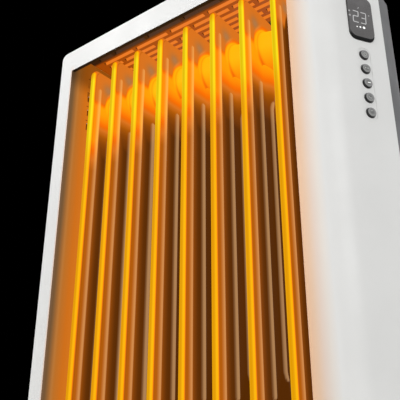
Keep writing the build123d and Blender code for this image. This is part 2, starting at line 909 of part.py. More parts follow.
def power_board():
    """Power board on standoffs from the heat shield, with relays, capacitor and terminals."""
    shield = window_right + liner_sheet
    x = shield + standoff_height
    face = x + board_sheet
    half_width = power_board_width / 2
    z0 = case_bottom + power_board_rise
    z1 = z0 + power_board_height
    body = block(x, face, -half_width, half_width, z0, z1)
    half = standoff_side / 2
    for y in (standoff_side - half_width, half_width - standoff_side):
        for z in (z0 + standoff_side, z1 - standoff_side):
            body += block(shield, x, y - half, y + half, z - half, z + half)
    for row in (1, 2.5):
        z = z1 - row * 1.5 * relay_side
        body += block(face, face + relay_height, -relay_length, 0, z - relay_side / 2, z + relay_side / 2)
    body += bar((face, relay_length, (z0 + z1) / 2), (1, 0, 0), capacitor_radius, capacitor_length, pin_flats)
    z = z0 + relay_side
    return body + block(face, face + terminal_block_height, -terminal_block_length / 2,
                        terminal_block_length / 2, z - relay_side / 2, z + relay_side / 2)


def tilt_pivot():
    """Pivot of the tilt switch's weight."""
    x = window_right + liner_sheet + tilt_box_width / 2
    z = case_bottom + tilt_box_rise + tilt_box_height - tilt_box_wall - 2 * tilt_eye_radius
    return x, inner_y - tilt_margin, z


def tilt_switch():
    """Box with one open side that holds the swinging weight on a pin."""
    x, y, z = tilt_pivot()
    half = tilt_box_depth / 2
    x0, x1 = x - tilt_box_width / 2, x + tilt_box_width / 2
    z0 = case_bottom + tilt_box_rise
    z1 = z0 + tilt_box_height
    body = block(x0, x1, y - half, y + half, z0, z1)
    body -= block(x0 + tilt_box_wall, x1 + 1, y - half + tilt_box_wall, y + half - tilt_box_wall,
                  z0 + tilt_box_wall, z1 - tilt_box_wall)
    start = (x0 + tilt_box_wall / 2, y, z)
    return body + bar(start, (1, 0, 0), tilt_pin_radius, tilt_box_width - tilt_box_wall, boss_flats)


def tilt_weight():
    """Weight that swings on the tilt switch's pin."""
    x, y, z = tilt_pivot()
    x0, x1 = x - tilt_thick / 2, x + tilt_thick / 2
    half = tilt_side / 2
    body = block(x0, x1, y - half, y + half, z - tilt_arm - half, z - tilt_arm + half)
    body += block(x0, x1, y - tilt_arm_width / 2, y + tilt_arm_width / 2, z - tilt_arm, z)
    body += bar((x0, y, z), (1, 0, 0), tilt_eye_radius, tilt_thick, boss_flats)
    return body - sleeve((x0 - 1, y, z), (1, 0, 0), tilt_pin_radius + tilt_clearance, tilt_thick + 2,
                         boss_flats)


def cable_gland():
    """Bush in the back wall that the mains cord comes in through."""
    inside = (gland_x, back_y - gland_inside, gland_height)
    body = bar(inside, (0, 1, 0), gland_radius, gland_inside, pin_flats)
    body += bar((gland_x, back_y, gland_height), (0, 1, 0), gland_flange, gland_outside, pin_flats, 20)
    return body - rod(inside, (0, 1, 0), gland_bore, gland_inside + gland_outside)


# Fasteners

def frame_screws():
    """Screws from inside the liners' front flanges into the front frame's bosses."""
    y = -inner_y + liner_sheet
    screws = []
    for x in screw_columns():
        for z in screw_heights():
            screw = bar((x, y, z), (0, -1, 0), screw_shank, screw_length, fastener_flats)
            screws.append(screw + bar((x, y, z), (0, 1, 0), screw_head, screw_head_height, boss_flats))
    return group(screws)


def case_screws():
    """Long screws through the rear frame into the liners' rear flanges."""
    screws = []
    y = back_y - wall / 2
    reach = frame_depth - wall / 2 + seam + liner_sheet + seam
    for x in screw_columns():
        for z in screw_heights():
            screw = bar((x, y, z), (0, -1, 0), screw_shank, reach, fastener_flats)
            screws.append(screw + bar((x, y, z), (0, 1, 0), screw_head, screw_head_height, boss_flats))
    return group(screws)


# Feet and castors

def foot(x):
    """Foot across the case: a low beam with raised ends, hollow underneath."""
    half = foot_length / 2
    inner = case_depth / 2 + foot_end_gap
    top = case_bottom + foot_end_rise
    profile = flat_face([(-half, foot_under), (half, foot_under), (half, top), (inner, top),
                         (inner, case_bottom), (-inner, case_bottom), (-inner, top), (-half, top)])
    profile = chamfer([vertex_near(profile, (side * half, top)) for side in (-1, 1)], foot_end_rise)
    start = Plane(origin=(x - foot_width / 2, 0, 0), x_dir=(0, 1, 0), z_dir=(1, 0, 0))
    body = extrude(start * profile, foot_width)
    body &= Pos(x, 0, 0) * extrude(RectangleRounded(foot_width, foot_length, foot_corner), case_top)
    half_pocket = foot_width / 2 - foot_wall
    reach = castor_y - stem_radius - castor_boss_wall
    rib_y = bolt_y / 2
    for y0, y1 in ((-reach, -rib_y), (foot_rib - rib_y, rib_y - foot_rib), (rib_y, reach)):
        body -= block(x - half_pocket, x + half_pocket, y0, y1, 0, case_bottom - foot_web)
    for y in (-castor_y, castor_y):
        body -= sleeve((x, y, 0), (0, 0, 1), stem_radius + stem_clearance, foot_under + stem_length + seam,
                       pin_flats)
    for y in (-bolt_y, bolt_y):
        body -= bolt_space(x, y)
    return body


def castor_places():
    """Stem position of each castor."""
    return [(x, y) for x in strap_x for y in (-castor_y, castor_y)]


def castor_wheel(x, y):
    """Wheel with bevelled tread edges, bored for its axle."""
    middle = (x + castor_trail, y - wheel_width / 2, wheel_radius)
    place = Plane(origin=middle, x_dir=(0, 0, 1), z_dir=(0, 1, 0))
    tread = RegularPolygon(wheel_radius, wheel_flats, major_radius=False, rotation=180 / wheel_flats)
    body = extrude(place * tread, wheel_width)
    rims = body.faces().sort_by(Axis.Y)[0].edges() + body.faces().sort_by(Axis.Y)[-1].edges()
    body = chamfer(rims, wheel_edge)
    return body - sleeve(middle, (0, 1, 0), axle_radius + axle_clearance, wheel_width, pin_flats)


def castor_fork(x, y):
    """Pressed fork with its stem and axle: a crown plate with two cheeks down to the axle."""
    crown_top = foot_under - seam
    inner = wheel_width / 2 + fork_side_gap
    outer = inner + fork_sheet
    half = fork_width / 2
    body = block(x - half, x + half, y - outer, y + outer, crown_under, crown_top)
    cheek = flat_face([(x - half, crown_top), (x + half, crown_top),
                       (x + castor_trail + fork_toe, wheel_radius - fork_toe),
                       (x + castor_trail - fork_toe, wheel_radius - fork_toe)])
    for side in (-1, 1):
        place = Plane(origin=(0, y + side * inner, 0), x_dir=(1, 0, 0), z_dir=(0, -1, 0))
        body += extrude(place * cheek, -side * fork_sheet)
    body += bar((x + castor_trail, y - outer, wheel_radius), (0, 1, 0), axle_radius, 2 * outer, pin_flats)
    return body + bar((x, y, crown_under), (0, 0, 1), stem_radius, fork_sheet + seam + stem_length, pin_flats)


save(front_frame(), "front_frame")
save(rear_frame(), "rear_frame")
save(display_lens(), "display_lens")
save(display_module(), "display_module")
save(tact_switches(), "tact_switches")
save(control_board(), "control_board")
save(board_carrier(), "board_carrier")
save(board_screws(), "board_screws")
for number, height in enumerate(button_heights(), start=1):
    save(push_button(height), f"button_{number}")
for number, fin in enumerate(oil_fins(), start=1):
    save(fin, f"fin_{number}")
save(filler_plug(), "filler_plug")
save(heating_element(), "heating_element")
save(thermal_cutout(), "thermal_cutout")
save(hold_down_straps(), "hold_down_straps")
save(hold_down_bolts(), "hold_down_bolts")
save(core_saddles(), "core_saddles")
save(top_grille(), "top_grille")
save(left_cover(), "left_cover")
save(left_liner(), "left_liner")
save(right_liner(), "right_liner")
save(base_tray(), "base_tray")
save(end_cover(), "end_cover")
save(power_board(), "power_board")
save(tilt_switch(), "tilt_switch")
save(tilt_weight(), "tilt_weight")
save(cable_gland(), "cable_gland")
save(frame_screws(), "frame_screws")
save(case_screws(), "case_screws")
for name, x in zip(("foot_left", "foot_right"), strap_x):
    save(foot(x), name)
for number, place in enumerate(castor_places(), start=1):
    save(castor_fork(*place), f"castor_fork_{number}")
    save(castor_wheel(*place), f"castor_wheel_{number}")
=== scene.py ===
from math import pi, radians

import bmesh
import bpy
import numpy as np
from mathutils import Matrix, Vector


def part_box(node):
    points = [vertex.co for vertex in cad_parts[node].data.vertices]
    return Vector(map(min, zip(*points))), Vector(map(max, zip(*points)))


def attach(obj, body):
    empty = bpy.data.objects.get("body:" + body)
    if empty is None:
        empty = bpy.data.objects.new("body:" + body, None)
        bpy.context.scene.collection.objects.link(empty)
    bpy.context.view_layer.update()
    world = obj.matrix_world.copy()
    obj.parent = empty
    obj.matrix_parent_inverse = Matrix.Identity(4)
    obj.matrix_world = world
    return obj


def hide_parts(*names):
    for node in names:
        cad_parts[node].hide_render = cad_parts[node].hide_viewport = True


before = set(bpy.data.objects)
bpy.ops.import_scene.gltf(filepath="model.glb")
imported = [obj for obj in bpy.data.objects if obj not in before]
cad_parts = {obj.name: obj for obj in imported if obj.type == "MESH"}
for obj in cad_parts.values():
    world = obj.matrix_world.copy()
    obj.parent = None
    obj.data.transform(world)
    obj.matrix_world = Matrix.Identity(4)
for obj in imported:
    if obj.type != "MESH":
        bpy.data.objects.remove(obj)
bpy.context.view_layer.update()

# Dresses the oil-filled radiator. The scene is in metres: X to the right along the front,
# Y to the back, Z up, with the origin on the floor under the middle of the case.
# Values with * MM are metres. The other lengths are millimetres, and meet MM where a shape is made.

MM = 0.001

# Oil fins
FIN_COUNT = 8
FIRST_FIN = -199.7 * MM
FIN_PITCH = 48.6 * MM
FIN_HALF_DEPTH = 70.5
FIN_LOW, FIN_HIGH = (corner[2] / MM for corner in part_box("fin_1"))
FIN_MIDDLE = (FIN_LOW + FIN_HIGH) / 2
FIN_CORNER = 14.0
PLATE_HALF = 1.2
# Hubs: distance from the fin's ends, and how far a drum and a closed cap stand out from its middle
HUB_DROP = 59.0
HUB_HEIGHTS = (FIN_LOW + HUB_DROP, FIN_HIGH - HUB_DROP)
HUB_REACH = 24.3
HUB_CAP_REACH = 13.0
# Channels: place across the fin and distance from the fin's ends
CHANNELS = ((-53.2, 30.0), (-26.6, 115.0), (0.0, 136.0), (26.6, 115.0), (53.2, 30.0))
CHANNEL_HALF = 5.4
CHANNEL_RISE = 3.0
OUTER_CHANNEL = 50.0
# Tails beside the hubs: length, and half width and rise at the hub and at the tip
TAIL_RUN = 84.0
TAIL_HALVES = (27.0, 6.5)
TAIL_CRESTS = (9.5, 3.2)
# What a fin's points carry: its painted glow, painted highlight on its crests with painted shade on a grey
# patch, and painted shade in its rims' grooves
FIN_MARKS = ("painted_glow", "highlight_and_shade", "groove_shade")
# Half thickness of a folded rim and distance from the fin's edge, from the plate out to the seam
RIM = np.array([
    (1.25, 9.6), (1.6, 8.7), (2.4, 7.9), (3.0, 7.2), (3.2, 6.3), (3.2, 4.2), (3.2, 2.3), (3.05, 1.3),
    (2.65, 0.6), (2.0, 0.15), (1.3, 0.0), (0.75, 0.1), (0.5, 0.45), (0.4, 1.0), (0.0, 1.3),
])

# Painted glow runs from 0 to 1. First a flank's by distance from its middle line, then what the top hub
# adds by distance below it. From the third fin on, each fin's glow runs one GLOW_STEP further down.
FLANK_GLOW = ((14, 0.09), (32, 0.125), (38, 0.135), (44, 0.20), (55, 0.30))
GLOW_BELOW = ((4, 0.68), (17, 0.66), (27, 0.59), (37, 0.49), (47, 0.33), (57, 0.225), (67, 0.175),
              (87, 0.12), (112, 0.0))
GLOW_STEP = 3.2
# Above the top hub: how far the glow goes round it, the painted glow past that, and a grey patch of painted
# shade beside it
GLOW_RADIUS = 39.0
TOP_GLOW = 0.42
SHADE_PATCH_ACROSS = 34.0
SHADE_PATCH_ABOVE = 33.0
SHADE_PATCH_REACH = 11.0
# Painted glow of the rims, bottom hubs and closed caps, and the painted shadow line where a drum meets the
# plate
RIM_GLOW = 0.87
LOW_HUB_GLOW = 0.34
CAP_GLOW = 0.22
HUB_SHADOW_LINE = 33.4

# Oblique control panel: a point on its edge, its run, its face and what sits on it
PANEL_START = np.array((224.9, -70.0, 0.0)) * MM
PANEL_ALONG = np.array((0.52547, 0.85081, 0.0))
PANEL_OUT = np.array((0.85081, -0.52547, 0.0))
UPRIGHT = np.array((0.0, 0.0, 1.0))
BACKWARD = np.array((0.0, 1.0, 0.0))
LENS_PROUD = 2.2
LENS_HEIGHT = sum(corner[2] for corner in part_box("display_lens")) / 2 / MM
STRIP_DEPTH = -0.5
BUTTON_ALONG = 32.8
BUTTON_HEIGHTS = [sum(corner[2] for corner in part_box(f"button_{n}")) / 2 / MM for n in range(1, 6)]
BUTTON_PROUD = 2.6
BUTTON_RADIUS = 5.7
BUTTON_FLANGE = 1.4
HOLE_RADIUS = 6.12
RING_RADIUS = 6.5

# Castors, inlet and screws
WHEEL_RADIUS = 20.0
WHEEL_HALF = 7.5
AXLE_SPACE = 3.1
GLAND_AT = np.array((195.9, 77.0, 104.0)) * MM
SCREW_COLUMNS = (-237.69 * MM, 178.51 * MM)
SCREW_HEIGHTS = ((FIN_LOW + 73.0) * MM, (FIN_HIGH - 71.3) * MM)
SCREW_SEAT = 87.6 * MM

# The window in the case and the walls round it
WINDOW_LEFT = -230.1 * MM
WINDOW_RIGHT = 170.9 * MM
WINDOW_FOOT = (FIN_LOW + 3.0) * MM
SOFFIT_LOW = (FIN_HIGH - 2.0) * MM
CASE_FACE = 89.0 * MM
BEHIND_FACE = 86.5 * MM
WALL_REACH = 40.0 * MM
NEAR = 0.6 * MM


# Shapes as (points, faces)

def grid_faces(rows, columns, ring=False):
    """Quads between neighbouring rows and columns. Columns close on themselves, and so do a ring's rows."""
    row = np.arange(rows if ring else rows - 1)[:, None]
    column = np.arange(columns)[None, :]
    after, beside = (row + 1) % rows, (column + 1) % columns
    corners = [(row, column), (row, beside), (after, beside), (after, column)]
    return np.stack([start * columns + step for start, step in corners], axis=-1).reshape(-1, 4)


def grid_shape(rows, ring=False):
    """A closed shell from an array of rows of points."""
    count, around = rows.shape[:2]
    return rows.reshape(-1, 3), grid_faces(count, around, ring).tolist()


def turned(profile, start, axis, steps=48, ring=False):
    """A profile of (a, r) turned about an axis.

    P = start + a * axis + r * (cos t * side + sin t * other), with t once round."""
    axis = np.asarray(axis, float)
    side = np.cross(axis, UPRIGHT if abs(axis[2]) < 0.9 else (1.0, 0.0, 0.0))
    side /= np.linalg.norm(side)
    other = np.cross(axis, side)
    t = np.linspace(0, 2 * pi, steps, endpoint=False)
    around = np.cos(t)[:, None] * side + np.sin(t)[:, None] * other
    profile = np.asarray(profile, float)
    rows = np.asarray(start) + profile[:, None, 0:1] * axis + profile[:, None, 1:2] * around
    return grid_shape(rows, ring)


def box_shape(low, high):
    """A box between two corners."""
    low, high = np.asarray(low, float), np.asarray(high, float)
    pick = np.array([(x, y, z) for z in (0, 1) for x, y in ((0, 0), (1, 0), (1, 1), (0, 1))], float)
    faces = [(3, 2, 1, 0), (4, 5, 6, 7), (0, 1, 5, 4), (1, 2, 6, 5), (2, 3, 7, 6), (3, 0, 4, 7)]
    return low + pick * (high - low), faces


def joined(shapes):
    """Several shapes as one, each a closed shell of its own."""
    points, faces, count = [], [], 0
    for part, part_faces in shapes:
        points.append(part)
        faces += [[corner + count for corner in face] for face in part_faces]
        count += len(part)
    return np.concatenate(points), faces


def cad_shape(node):
    """The points and triangles of a CAD piece."""
    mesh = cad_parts[node].data
    points = np.empty(len(mesh.vertices) * 3)
    mesh.vertices.foreach_get("co", points)
    return points.reshape(-1, 3), [list(face.vertices) for face in mesh.polygons]


def on_panel(points):
    """Points given in millimetres as (along, height, out) on the oblique panel."""
    along, height, out = np.split(np.asarray(points, float) * MM, 3, axis=-1)
    return PANEL_START + along * PANEL_ALONG + height * UPRIGHT + out * PANEL_OUT


def rounded_outline(width, height, corner, steps=8):
    """Outline of a rounded rectangle: quarter circles about four corner centres."""
    turns = np.linspace(0, pi / 2, steps)
    arcs = []
    for quarter, (right, up) in enumerate(((1, 1), (-1, 1), (-1, -1), (1, -1))):
        t = turns + quarter * pi / 2
        arcs.append(np.stack([right * (width / 2 - corner) + corner * np.cos(t),
                              up * (height / 2 - corner) + corner * np.sin(t)], axis=-1))
    return np.concatenate(arcs)


def panel_plate(middle, width, height, corner, levels):
    """A rounded plate on the panel, from levels of (inset, out), closed at both ends."""
    rows = []
    for inset, out in levels:
        outline = rounded_outline(width - 2 * inset, height - 2 * inset, max(corner - inset, 0.05))
        rows.append(np.column_stack([outline + middle, np.full(len(outline), out)]))
    for end, row in ((0, rows[0]), (len(rows) + 1, rows[-1])):
        rows.insert(end, np.tile(np.append(middle, row[0, 2]), (len(row), 1)))
    return grid_shape(on_panel(np.array(rows)))


def smooth_path(corners, radius, steps=5):
    """A path through corners, each rounded by a curve B(t) = (1-t)^2 a + 2t(1-t) b + t^2 c."""
    corners = np.asarray(corners, float)
    t = np.linspace(0, 1, steps)[:, None]
    path = [corners[:1]]
    for before, at, after in zip(corners, corners[1:], corners[2:]):
        enter = at + (before - at) / np.linalg.norm(before - at) * radius
        leave = at + (after - at) / np.linalg.norm(after - at) * radius
        path.append((1 - t) ** 2 * enter + 2 * t * (1 - t) * at + t ** 2 * leave)
    path.append(corners[-1:])
    return np.concatenate(path)


def stroke(corners, width, low, high, radius=1.0):
    """A raised line on the panel: a flat band carried along a path.

    Past an end it runs on by w/2 cos a while its half width is w/2 sin a, which rounds it."""
    path = smooth_path(corners, radius)
    run = np.gradient(path, axis=0)
    run /= np.linalg.norm(run, axis=1, keepdims=True)
    across = np.stack([-run[:, 1], run[:, 0]], axis=1)
    reach = width / 2
    caps = np.linspace(0, pi / 2, 5)[:-1]
    past = reach * np.cos(caps)[:, None]
    ends = reach * np.sin(caps)
    half = np.concatenate([ends, np.full(len(path), reach), ends[::-1]])[:, None]
    path = np.concatenate([path[0] - run[0] * past, path, (path[-1] + run[-1] * past)[::-1]])
    across = np.pad(across, ((len(caps), len(caps)), (0, 0)), mode="edge")
    level = np.ones((len(path), 1))
    edges = ((-1, low), (1, low), (1, high), (-1, high))
    lines = [np.hstack([path + side * across * half, level * out]) for side, out in edges]
    rows = np.stack(lines, axis=1)
    middle = np.repeat(rows.mean(axis=1, keepdims=True), len(edges), axis=1)
    return grid_shape(on_panel(np.concatenate([middle[:1], rows, middle[-1:]])))


def dot(along, height, radius, low, high):
    """A small round mark on the panel, turned from a rectangle."""
    profile = np.array([(0, 0), (0, radius), (high - low, radius), (high - low, 0)]) * MM
    return turned(profile, on_panel((along, height, low)), PANEL_OUT, steps=20)


# Finishes

def paint(red, green, blue):
    """Linear colour from screen values of 0 to 255."""
    levels = np.array((red, green, blue)) / 255
    linear = np.where(levels < 0.04045, levels / 12.92, ((levels + 0.055) / 1.055) ** 2.4)
    return (*linear.tolist(), 1.0)


def add(tree, kind, inputs=(), **settings):
    """A node with its settings, its sockets linked to other sockets or set to values."""
    made = tree.nodes.new("ShaderNode" + kind)
    for key, value in settings.items():
        setattr(made, key, value)
    for key, value in dict(inputs).items():
        if isinstance(value, bpy.types.NodeSocket):
            tree.links.new(value, made.inputs[key])
        else:
            made.inputs[key].default_value = value
    return made


def mix(tree, factor, first, second, **settings):
    """Colour mixed from two."""
    blend = add(tree, "Mix", {0: factor, 6: first, 7: second}, data_type="RGBA", **settings)
    return blend.outputs[2]


def math(tree, operation, first, second=0.0):
    """One arithmetic step."""
    return add(tree, "Math", {0: first, 1: second}, operation=operation).outputs[0]


def product(tree, *shares):
    """Several shares multiplied."""
    total = shares[0]
    for share in shares[1:]:
        total = math(tree, "MULTIPLY", total, share)
    return total


def place_in(tree):
    """The X, Y and Z of a place on the object."""
    return add(tree, "SeparateXYZ", {0: add(tree, "TexCoord").outputs["Object"]}).outputs


def upward(tree):
    """How far a face looks up: 1 straight up, -1 straight down."""
    return add(tree, "SeparateXYZ", {0: add(tree, "NewGeometry").outputs["Normal"]}).outputs[2]


def band(tree, value, start, end, low=0.0, high=1.0):
    """A smooth step of a value from start to end."""
    inputs = {"Value": value, "From Min": start, "From Max": end, "To Min": low, "To Max": high}
    return add(tree, "MapRange", inputs, interpolation_type="SMOOTHSTEP").outputs[0]


def new_group(name, inputs, outputs):
    """An empty shader group with float inputs and outputs of (name, kind)."""
    tree = bpy.data.node_groups.new(name, "ShaderNodeTree")
    for label, value in inputs:
        made = tree.interface.new_socket(label, in_out="INPUT", socket_type="NodeSocketFloat")
        made.default_value = value
    for label, kind in outputs:
        tree.interface.new_socket(label, in_out="OUTPUT", socket_type="NodeSocket" + kind)
    return tree, tree.nodes.new("NodeGroupInput").outputs, tree.nodes.new("NodeGroupOutput").inputs


def ramp(tree, value, stops):
    """A colour ramp through stops of (place, screen colour)."""
    made = add(tree, "ValToRGB", {0: value})
    steps = made.color_ramp.elements
    steps[-1].position = stops[-1][0]
    for place, _ in stops[1:-1]:
        steps.new(place)
    for step, (_, colour) in zip(steps, stops):
        step.color = paint(*colour)
    return made.outputs[0]


BLACK = (0.0, 0.0, 0.0, 1.0)
# Colours of the core's light painted on the window's walls, by depth behind the case's face, as a share of
# WALL_REACH
WALL_COLOURS = ((0.03, (116, 90, 68)), (0.125, (110, 80, 50)), (0.2, (128, 90, 52)), (0.3, (156, 101, 48)),
                (0.4, (182, 116, 52)), (0.5, (186, 110, 36)), (0.8, (205, 110, 22)), (1.0, (209, 114, 26)))
# Painted light from the core on the front beside the window, from its right edge outwards
PAINTED_SPILL_EDGE = ((0.0, (238, 190, 150)), (0.25, (233, 198, 167)), (0.5, (230, 210, 195)),
             (0.75, (231, 223, 214)), (1.0, (231, 231, 229)))
# Colours of the core's painted light on the grille by how squarely a face looks at the core: deep inside,
# and darker near the front and back as painted shade
GRILLE_DEEP = ((0.0, (60, 26, 3)), (0.3, (110, 48, 3)), (0.70, (158, 68, 3)), (0.76, (170, 78, 6)),
               (0.95, (228, 114, 24)), (1.0, (234, 120, 28)))
GRILLE_NEAR = ((0.0, (16, 8, 3)), (0.70, (36, 18, 7)), (0.95, (62, 34, 15)), (1.0, (70, 40, 18)))
# Colours of the fins' painted glow by its level: on the flanks, and on the channels' crests with their
# painted highlight
FIN_GLOW = ((0.05, (68, 34, 2)), (0.12, (88, 43, 5)), (0.20, (124, 61, 8)), (0.30, (180, 92, 9)),
            (0.42, (219, 116, 32)), (0.52, (238, 110, 8)), (0.56, (250, 112, 6)), (0.65, (254, 139, 8)),
            (0.72, (255, 158, 8)), (0.80, (255, 176, 10)), (0.88, (255, 186, 12)), (0.94, (255, 205, 22)),
            (1.0, (255, 230, 30)))
CREST_GLOW = ((0.05, (158, 116, 78)), (0.15, (178, 132, 86)), (0.28, (208, 139, 78)),
              (0.50, (250, 163, 74)), (0.72, (255, 189, 72)))


def grain_group():
    """Fine moulding or sheet grain: noise for height, broad noise for mottling, and sparse pits."""
    tree, given, out = new_group("surface_grain", (("Scale", 900.0), ("Broad", 14.0), ("Stretch", 1.0)),
                                 (("Height", "Float"), ("Mottle", "Float"), ("Pits", "Float")))
    place = add(tree, "TexCoord").outputs["Object"]
    pull = add(tree, "CombineXYZ", {0: 1.0, 1: 1.0, 2: given["Stretch"]}).outputs[0]
    drawn = add(tree, "VectorMath", {0: place, 1: pull}, operation="MULTIPLY").outputs[0]
    fine = add(tree, "TexNoise", {"Vector": drawn, "Scale": given["Scale"], "Detail": 3.0})
    broad = add(tree, "TexNoise", {"Vector": drawn, "Scale": given["Broad"], "Detail": 4.0})
    cells = add(tree, "TexVoronoi", {"Vector": place, "Scale": given["Scale"]})
    tree.links.new(fine.outputs[0], out["Height"])
    tree.links.new(band(tree, broad.outputs[0], 0.3, 0.7), out["Mottle"])
    tree.links.new(band(tree, cells.outputs["Distance"], 0.18, 0.02), out["Pits"])
    return tree


def dust_group():
    """Dust that settles on what faces up, broken up by noise."""
    tree, given, out = new_group("settled_dust", (("Amount", 0.3),), (("Mask", "Float"),))
    place = add(tree, "TexCoord").outputs["Object"]
    patches = add(tree, "TexNoise", {"Vector": place, "Scale": 60.0, "Detail": 5.0}).outputs[0]
    lying = band(tree, upward(tree), 0.5, 1.0)
    mask = product(tree, lying, band(tree, patches, 0.35, 0.75), given["Amount"])
    tree.links.new(mask, out["Mask"])
    return tree


def lit_group():
    """How far the grille is lit by the glowing core.

    Depth is a smooth step of the distance from the middle plane, and facing is how squarely a face looks
    along (0, Inward, Down)."""
    inputs = (("Dark Depth", 44.0 * MM), ("Lit Depth", 37.0 * MM), ("Down", -0.7071), ("Inward", -0.7071))
    tree, given, out = new_group("core_light", inputs, (("Depth", "Float"), ("Facing", "Float")))
    depth = math(tree, "ABSOLUTE", place_in(tree)[1])
    tree.links.new(band(tree, depth, given["Dark Depth"], given["Lit Depth"]), out["Depth"])
    aim = add(tree, "CombineXYZ", {0: 0.0, 1: given["Inward"], 2: given["Down"]}).outputs[0]
    normal = add(tree, "NewGeometry").outputs["Normal"]
    facing = add(tree, "VectorMath", {0: normal, 1: aim}, operation="DOT_PRODUCT").outputs["Value"]
    tree.links.new(add(tree, "Clamp", {0: facing}).outputs[0], out["Facing"])
    return tree


def wall_light_group():
    """What the core throws on the walls beside it: brown near the front and orange further in.

    Towards the top it falls smoothly to the Top Share, and faces that look down get next to none."""
    inputs = (("Face", CASE_FACE), ("Reach", WALL_REACH), ("Top Share", 0.45))
    tree, given, out = new_group("wall_light", inputs, (("Colour", "Color"),))
    place = place_in(tree)
    behind = math(tree, "SUBTRACT", given["Face"], math(tree, "ABSOLUTE", place[1]))
    colour = ramp(tree, math(tree, "DIVIDE", behind, given["Reach"]), WALL_COLOURS)
    top = band(tree, place[2], SOFFIT_LOW - 38.0 * MM, SOFFIT_LOW)
    share = add(tree, "MapRange", {"Value": top, "To Min": 1.0, "To Max": given["Top Share"]}).outputs[0]
    share = product(tree, share, band(tree, upward(tree), -0.5, -0.2, 0.06, 1.0))
    tree.links.new(mix(tree, share, BLACK, colour), out["Colour"])
    return tree


GRAIN, DUST, LIT, WALL = grain_group(), dust_group(), lit_group(), wall_light_group()


def use(tree, group, **inputs):
    """A shared group placed in a material with its own values."""
    made = tree.nodes.new("ShaderNodeGroup")
    made.node_tree = group
    for key, value in inputs.items():
        made.inputs[key.replace("_", " ")].default_value = value
    return made.outputs


def finish(name, tone, shade, rough, scale=900.0, broad=14.0, stretch=1.0, depth=0.03 * MM, dust=0.2,
           pits=0.0, **sockets):
    """A finish with mottled colour, uneven roughness, grain and settled dust.

    Returns its material, node tree, shader and colour."""
    material = bpy.data.materials.new(name)
    material.use_nodes = True
    tree = material.node_tree
    shader = tree.nodes["Principled BSDF"]
    for key, value in sockets.items():
        shader.inputs[key.replace("_", " ")].default_value = value
    grain = use(tree, GRAIN, Scale=scale, Broad=broad, Stretch=stretch)
    colour = mix(tree, grain["Mottle"], paint(*tone), paint(*shade))
    if pits:
        hollow = paint(*[0.6 * level for level in shade])
        colour = mix(tree, math(tree, "MULTIPLY", grain["Pits"], pits), colour, hollow)
    mask = use(tree, DUST, Amount=dust)["Mask"]
    colour = mix(tree, mask, colour, paint(168, 160, 148))
    tree.links.new(colour, shader.inputs["Base Color"])
    tree.links.new(band(tree, grain["Mottle"], 0.0, 1.0, rough[0], rough[1]), shader.inputs["Roughness"])
    bump = add(tree, "Bump", {"Height": grain["Height"], "Strength": 0.5, "Distance": depth})
    tree.links.new(bump.outputs[0], shader.inputs["Normal"])
    return material, tree, shader, colour


def glow(made, colour, strength=1.0):
    """Light given off by a finish, its colour changing over the surface."""
    _, tree, shader, _ = made
    tree.links.new(colour, shader.inputs["Emission Color"])
    shader.inputs["Emission Strength"].default_value = strength


def white_plastic():
    """White moulded case, with a little of the core's light painted on the front beside the window.

    Each share of painted light is a product of smooth steps: on the front, at the window's height, beside
    an edge."""
    made = finish("white_moulding", (232, 232, 230), (228, 228, 226), (0.34, 0.46), depth=0.02 * MM,
                  dust=0.05, Coat_Weight=0.05, Coat_Roughness=0.3)
    _, tree, shader, colour = made
    across, deep, height = place_in(tree)
    foot, top = FIN_LOW * MM, FIN_HIGH * MM
    level = product(tree, band(tree, deep, -82.0 * MM, -87.0 * MM),
                    band(tree, height, top + 12.0 * MM, top - 12.0 * MM),
                    band(tree, height, foot - 20.0 * MM, foot + 30.0 * MM))
    right = product(tree, level, band(tree, across, 160.0 * MM, 170.0 * MM),
                    band(tree, across, 206.0 * MM, 200.0 * MM))
    left = product(tree, level, band(tree, across, -234.5 * MM, -230.3 * MM),
                   band(tree, across, -220.0 * MM, -230.0 * MM))
    spread = {"Value": across, "From Min": 171.0 * MM, "From Max": 201.0 * MM}
    painted_spill = ramp(tree, add(tree, "MapRange", spread).outputs[0], PAINTED_SPILL_EDGE)
    colour = mix(tree, right, colour, painted_spill)
    # A fainter painted light from the core beside the window's left edge
    tree.links.new(mix(tree, left, colour, paint(236, 212, 196)), shader.inputs["Base Color"])
    return made[0]


def return_plastic():
    """The window's inner walls: the same plastic given a dark base colour as painted shade, darker at the
    top, with the core's light painted on at the sides.
    """
    made = finish("window_return", (30, 23, 17), (24, 18, 13), (0.5, 0.6), dust=0.0, Specular_IOR_Level=0.2)
    glow(made, use(made[1], WALL)["Colour"])
    return made[0]


def grille_plastic():
    """Top grille: white from above; where its faces don't look up, a near-black base as painted shade, and
    painted light where they face the core.
    """
    made = finish("grille_moulding", (232, 232, 230), (226, 226, 225), (0.36, 0.46), depth=0.02 * MM,
                  dust=0.08)
    _, tree, shader, colour = made
    lit = use(tree, LIT)
    deep = ramp(tree, lit["Facing"], GRILLE_DEEP)
    near = ramp(tree, lit["Facing"], GRILLE_NEAR)
    under = band(tree, upward(tree), 0.9, 0.6)
    glow(made, mix(tree, under, BLACK, mix(tree, lit["Depth"], near, deep)))
    # Faces that don't look up get a near-black base colour as painted shade
    tree.links.new(mix(tree, under, colour, paint(14, 7, 3)), shader.inputs["Base Color"])
    return made[0]


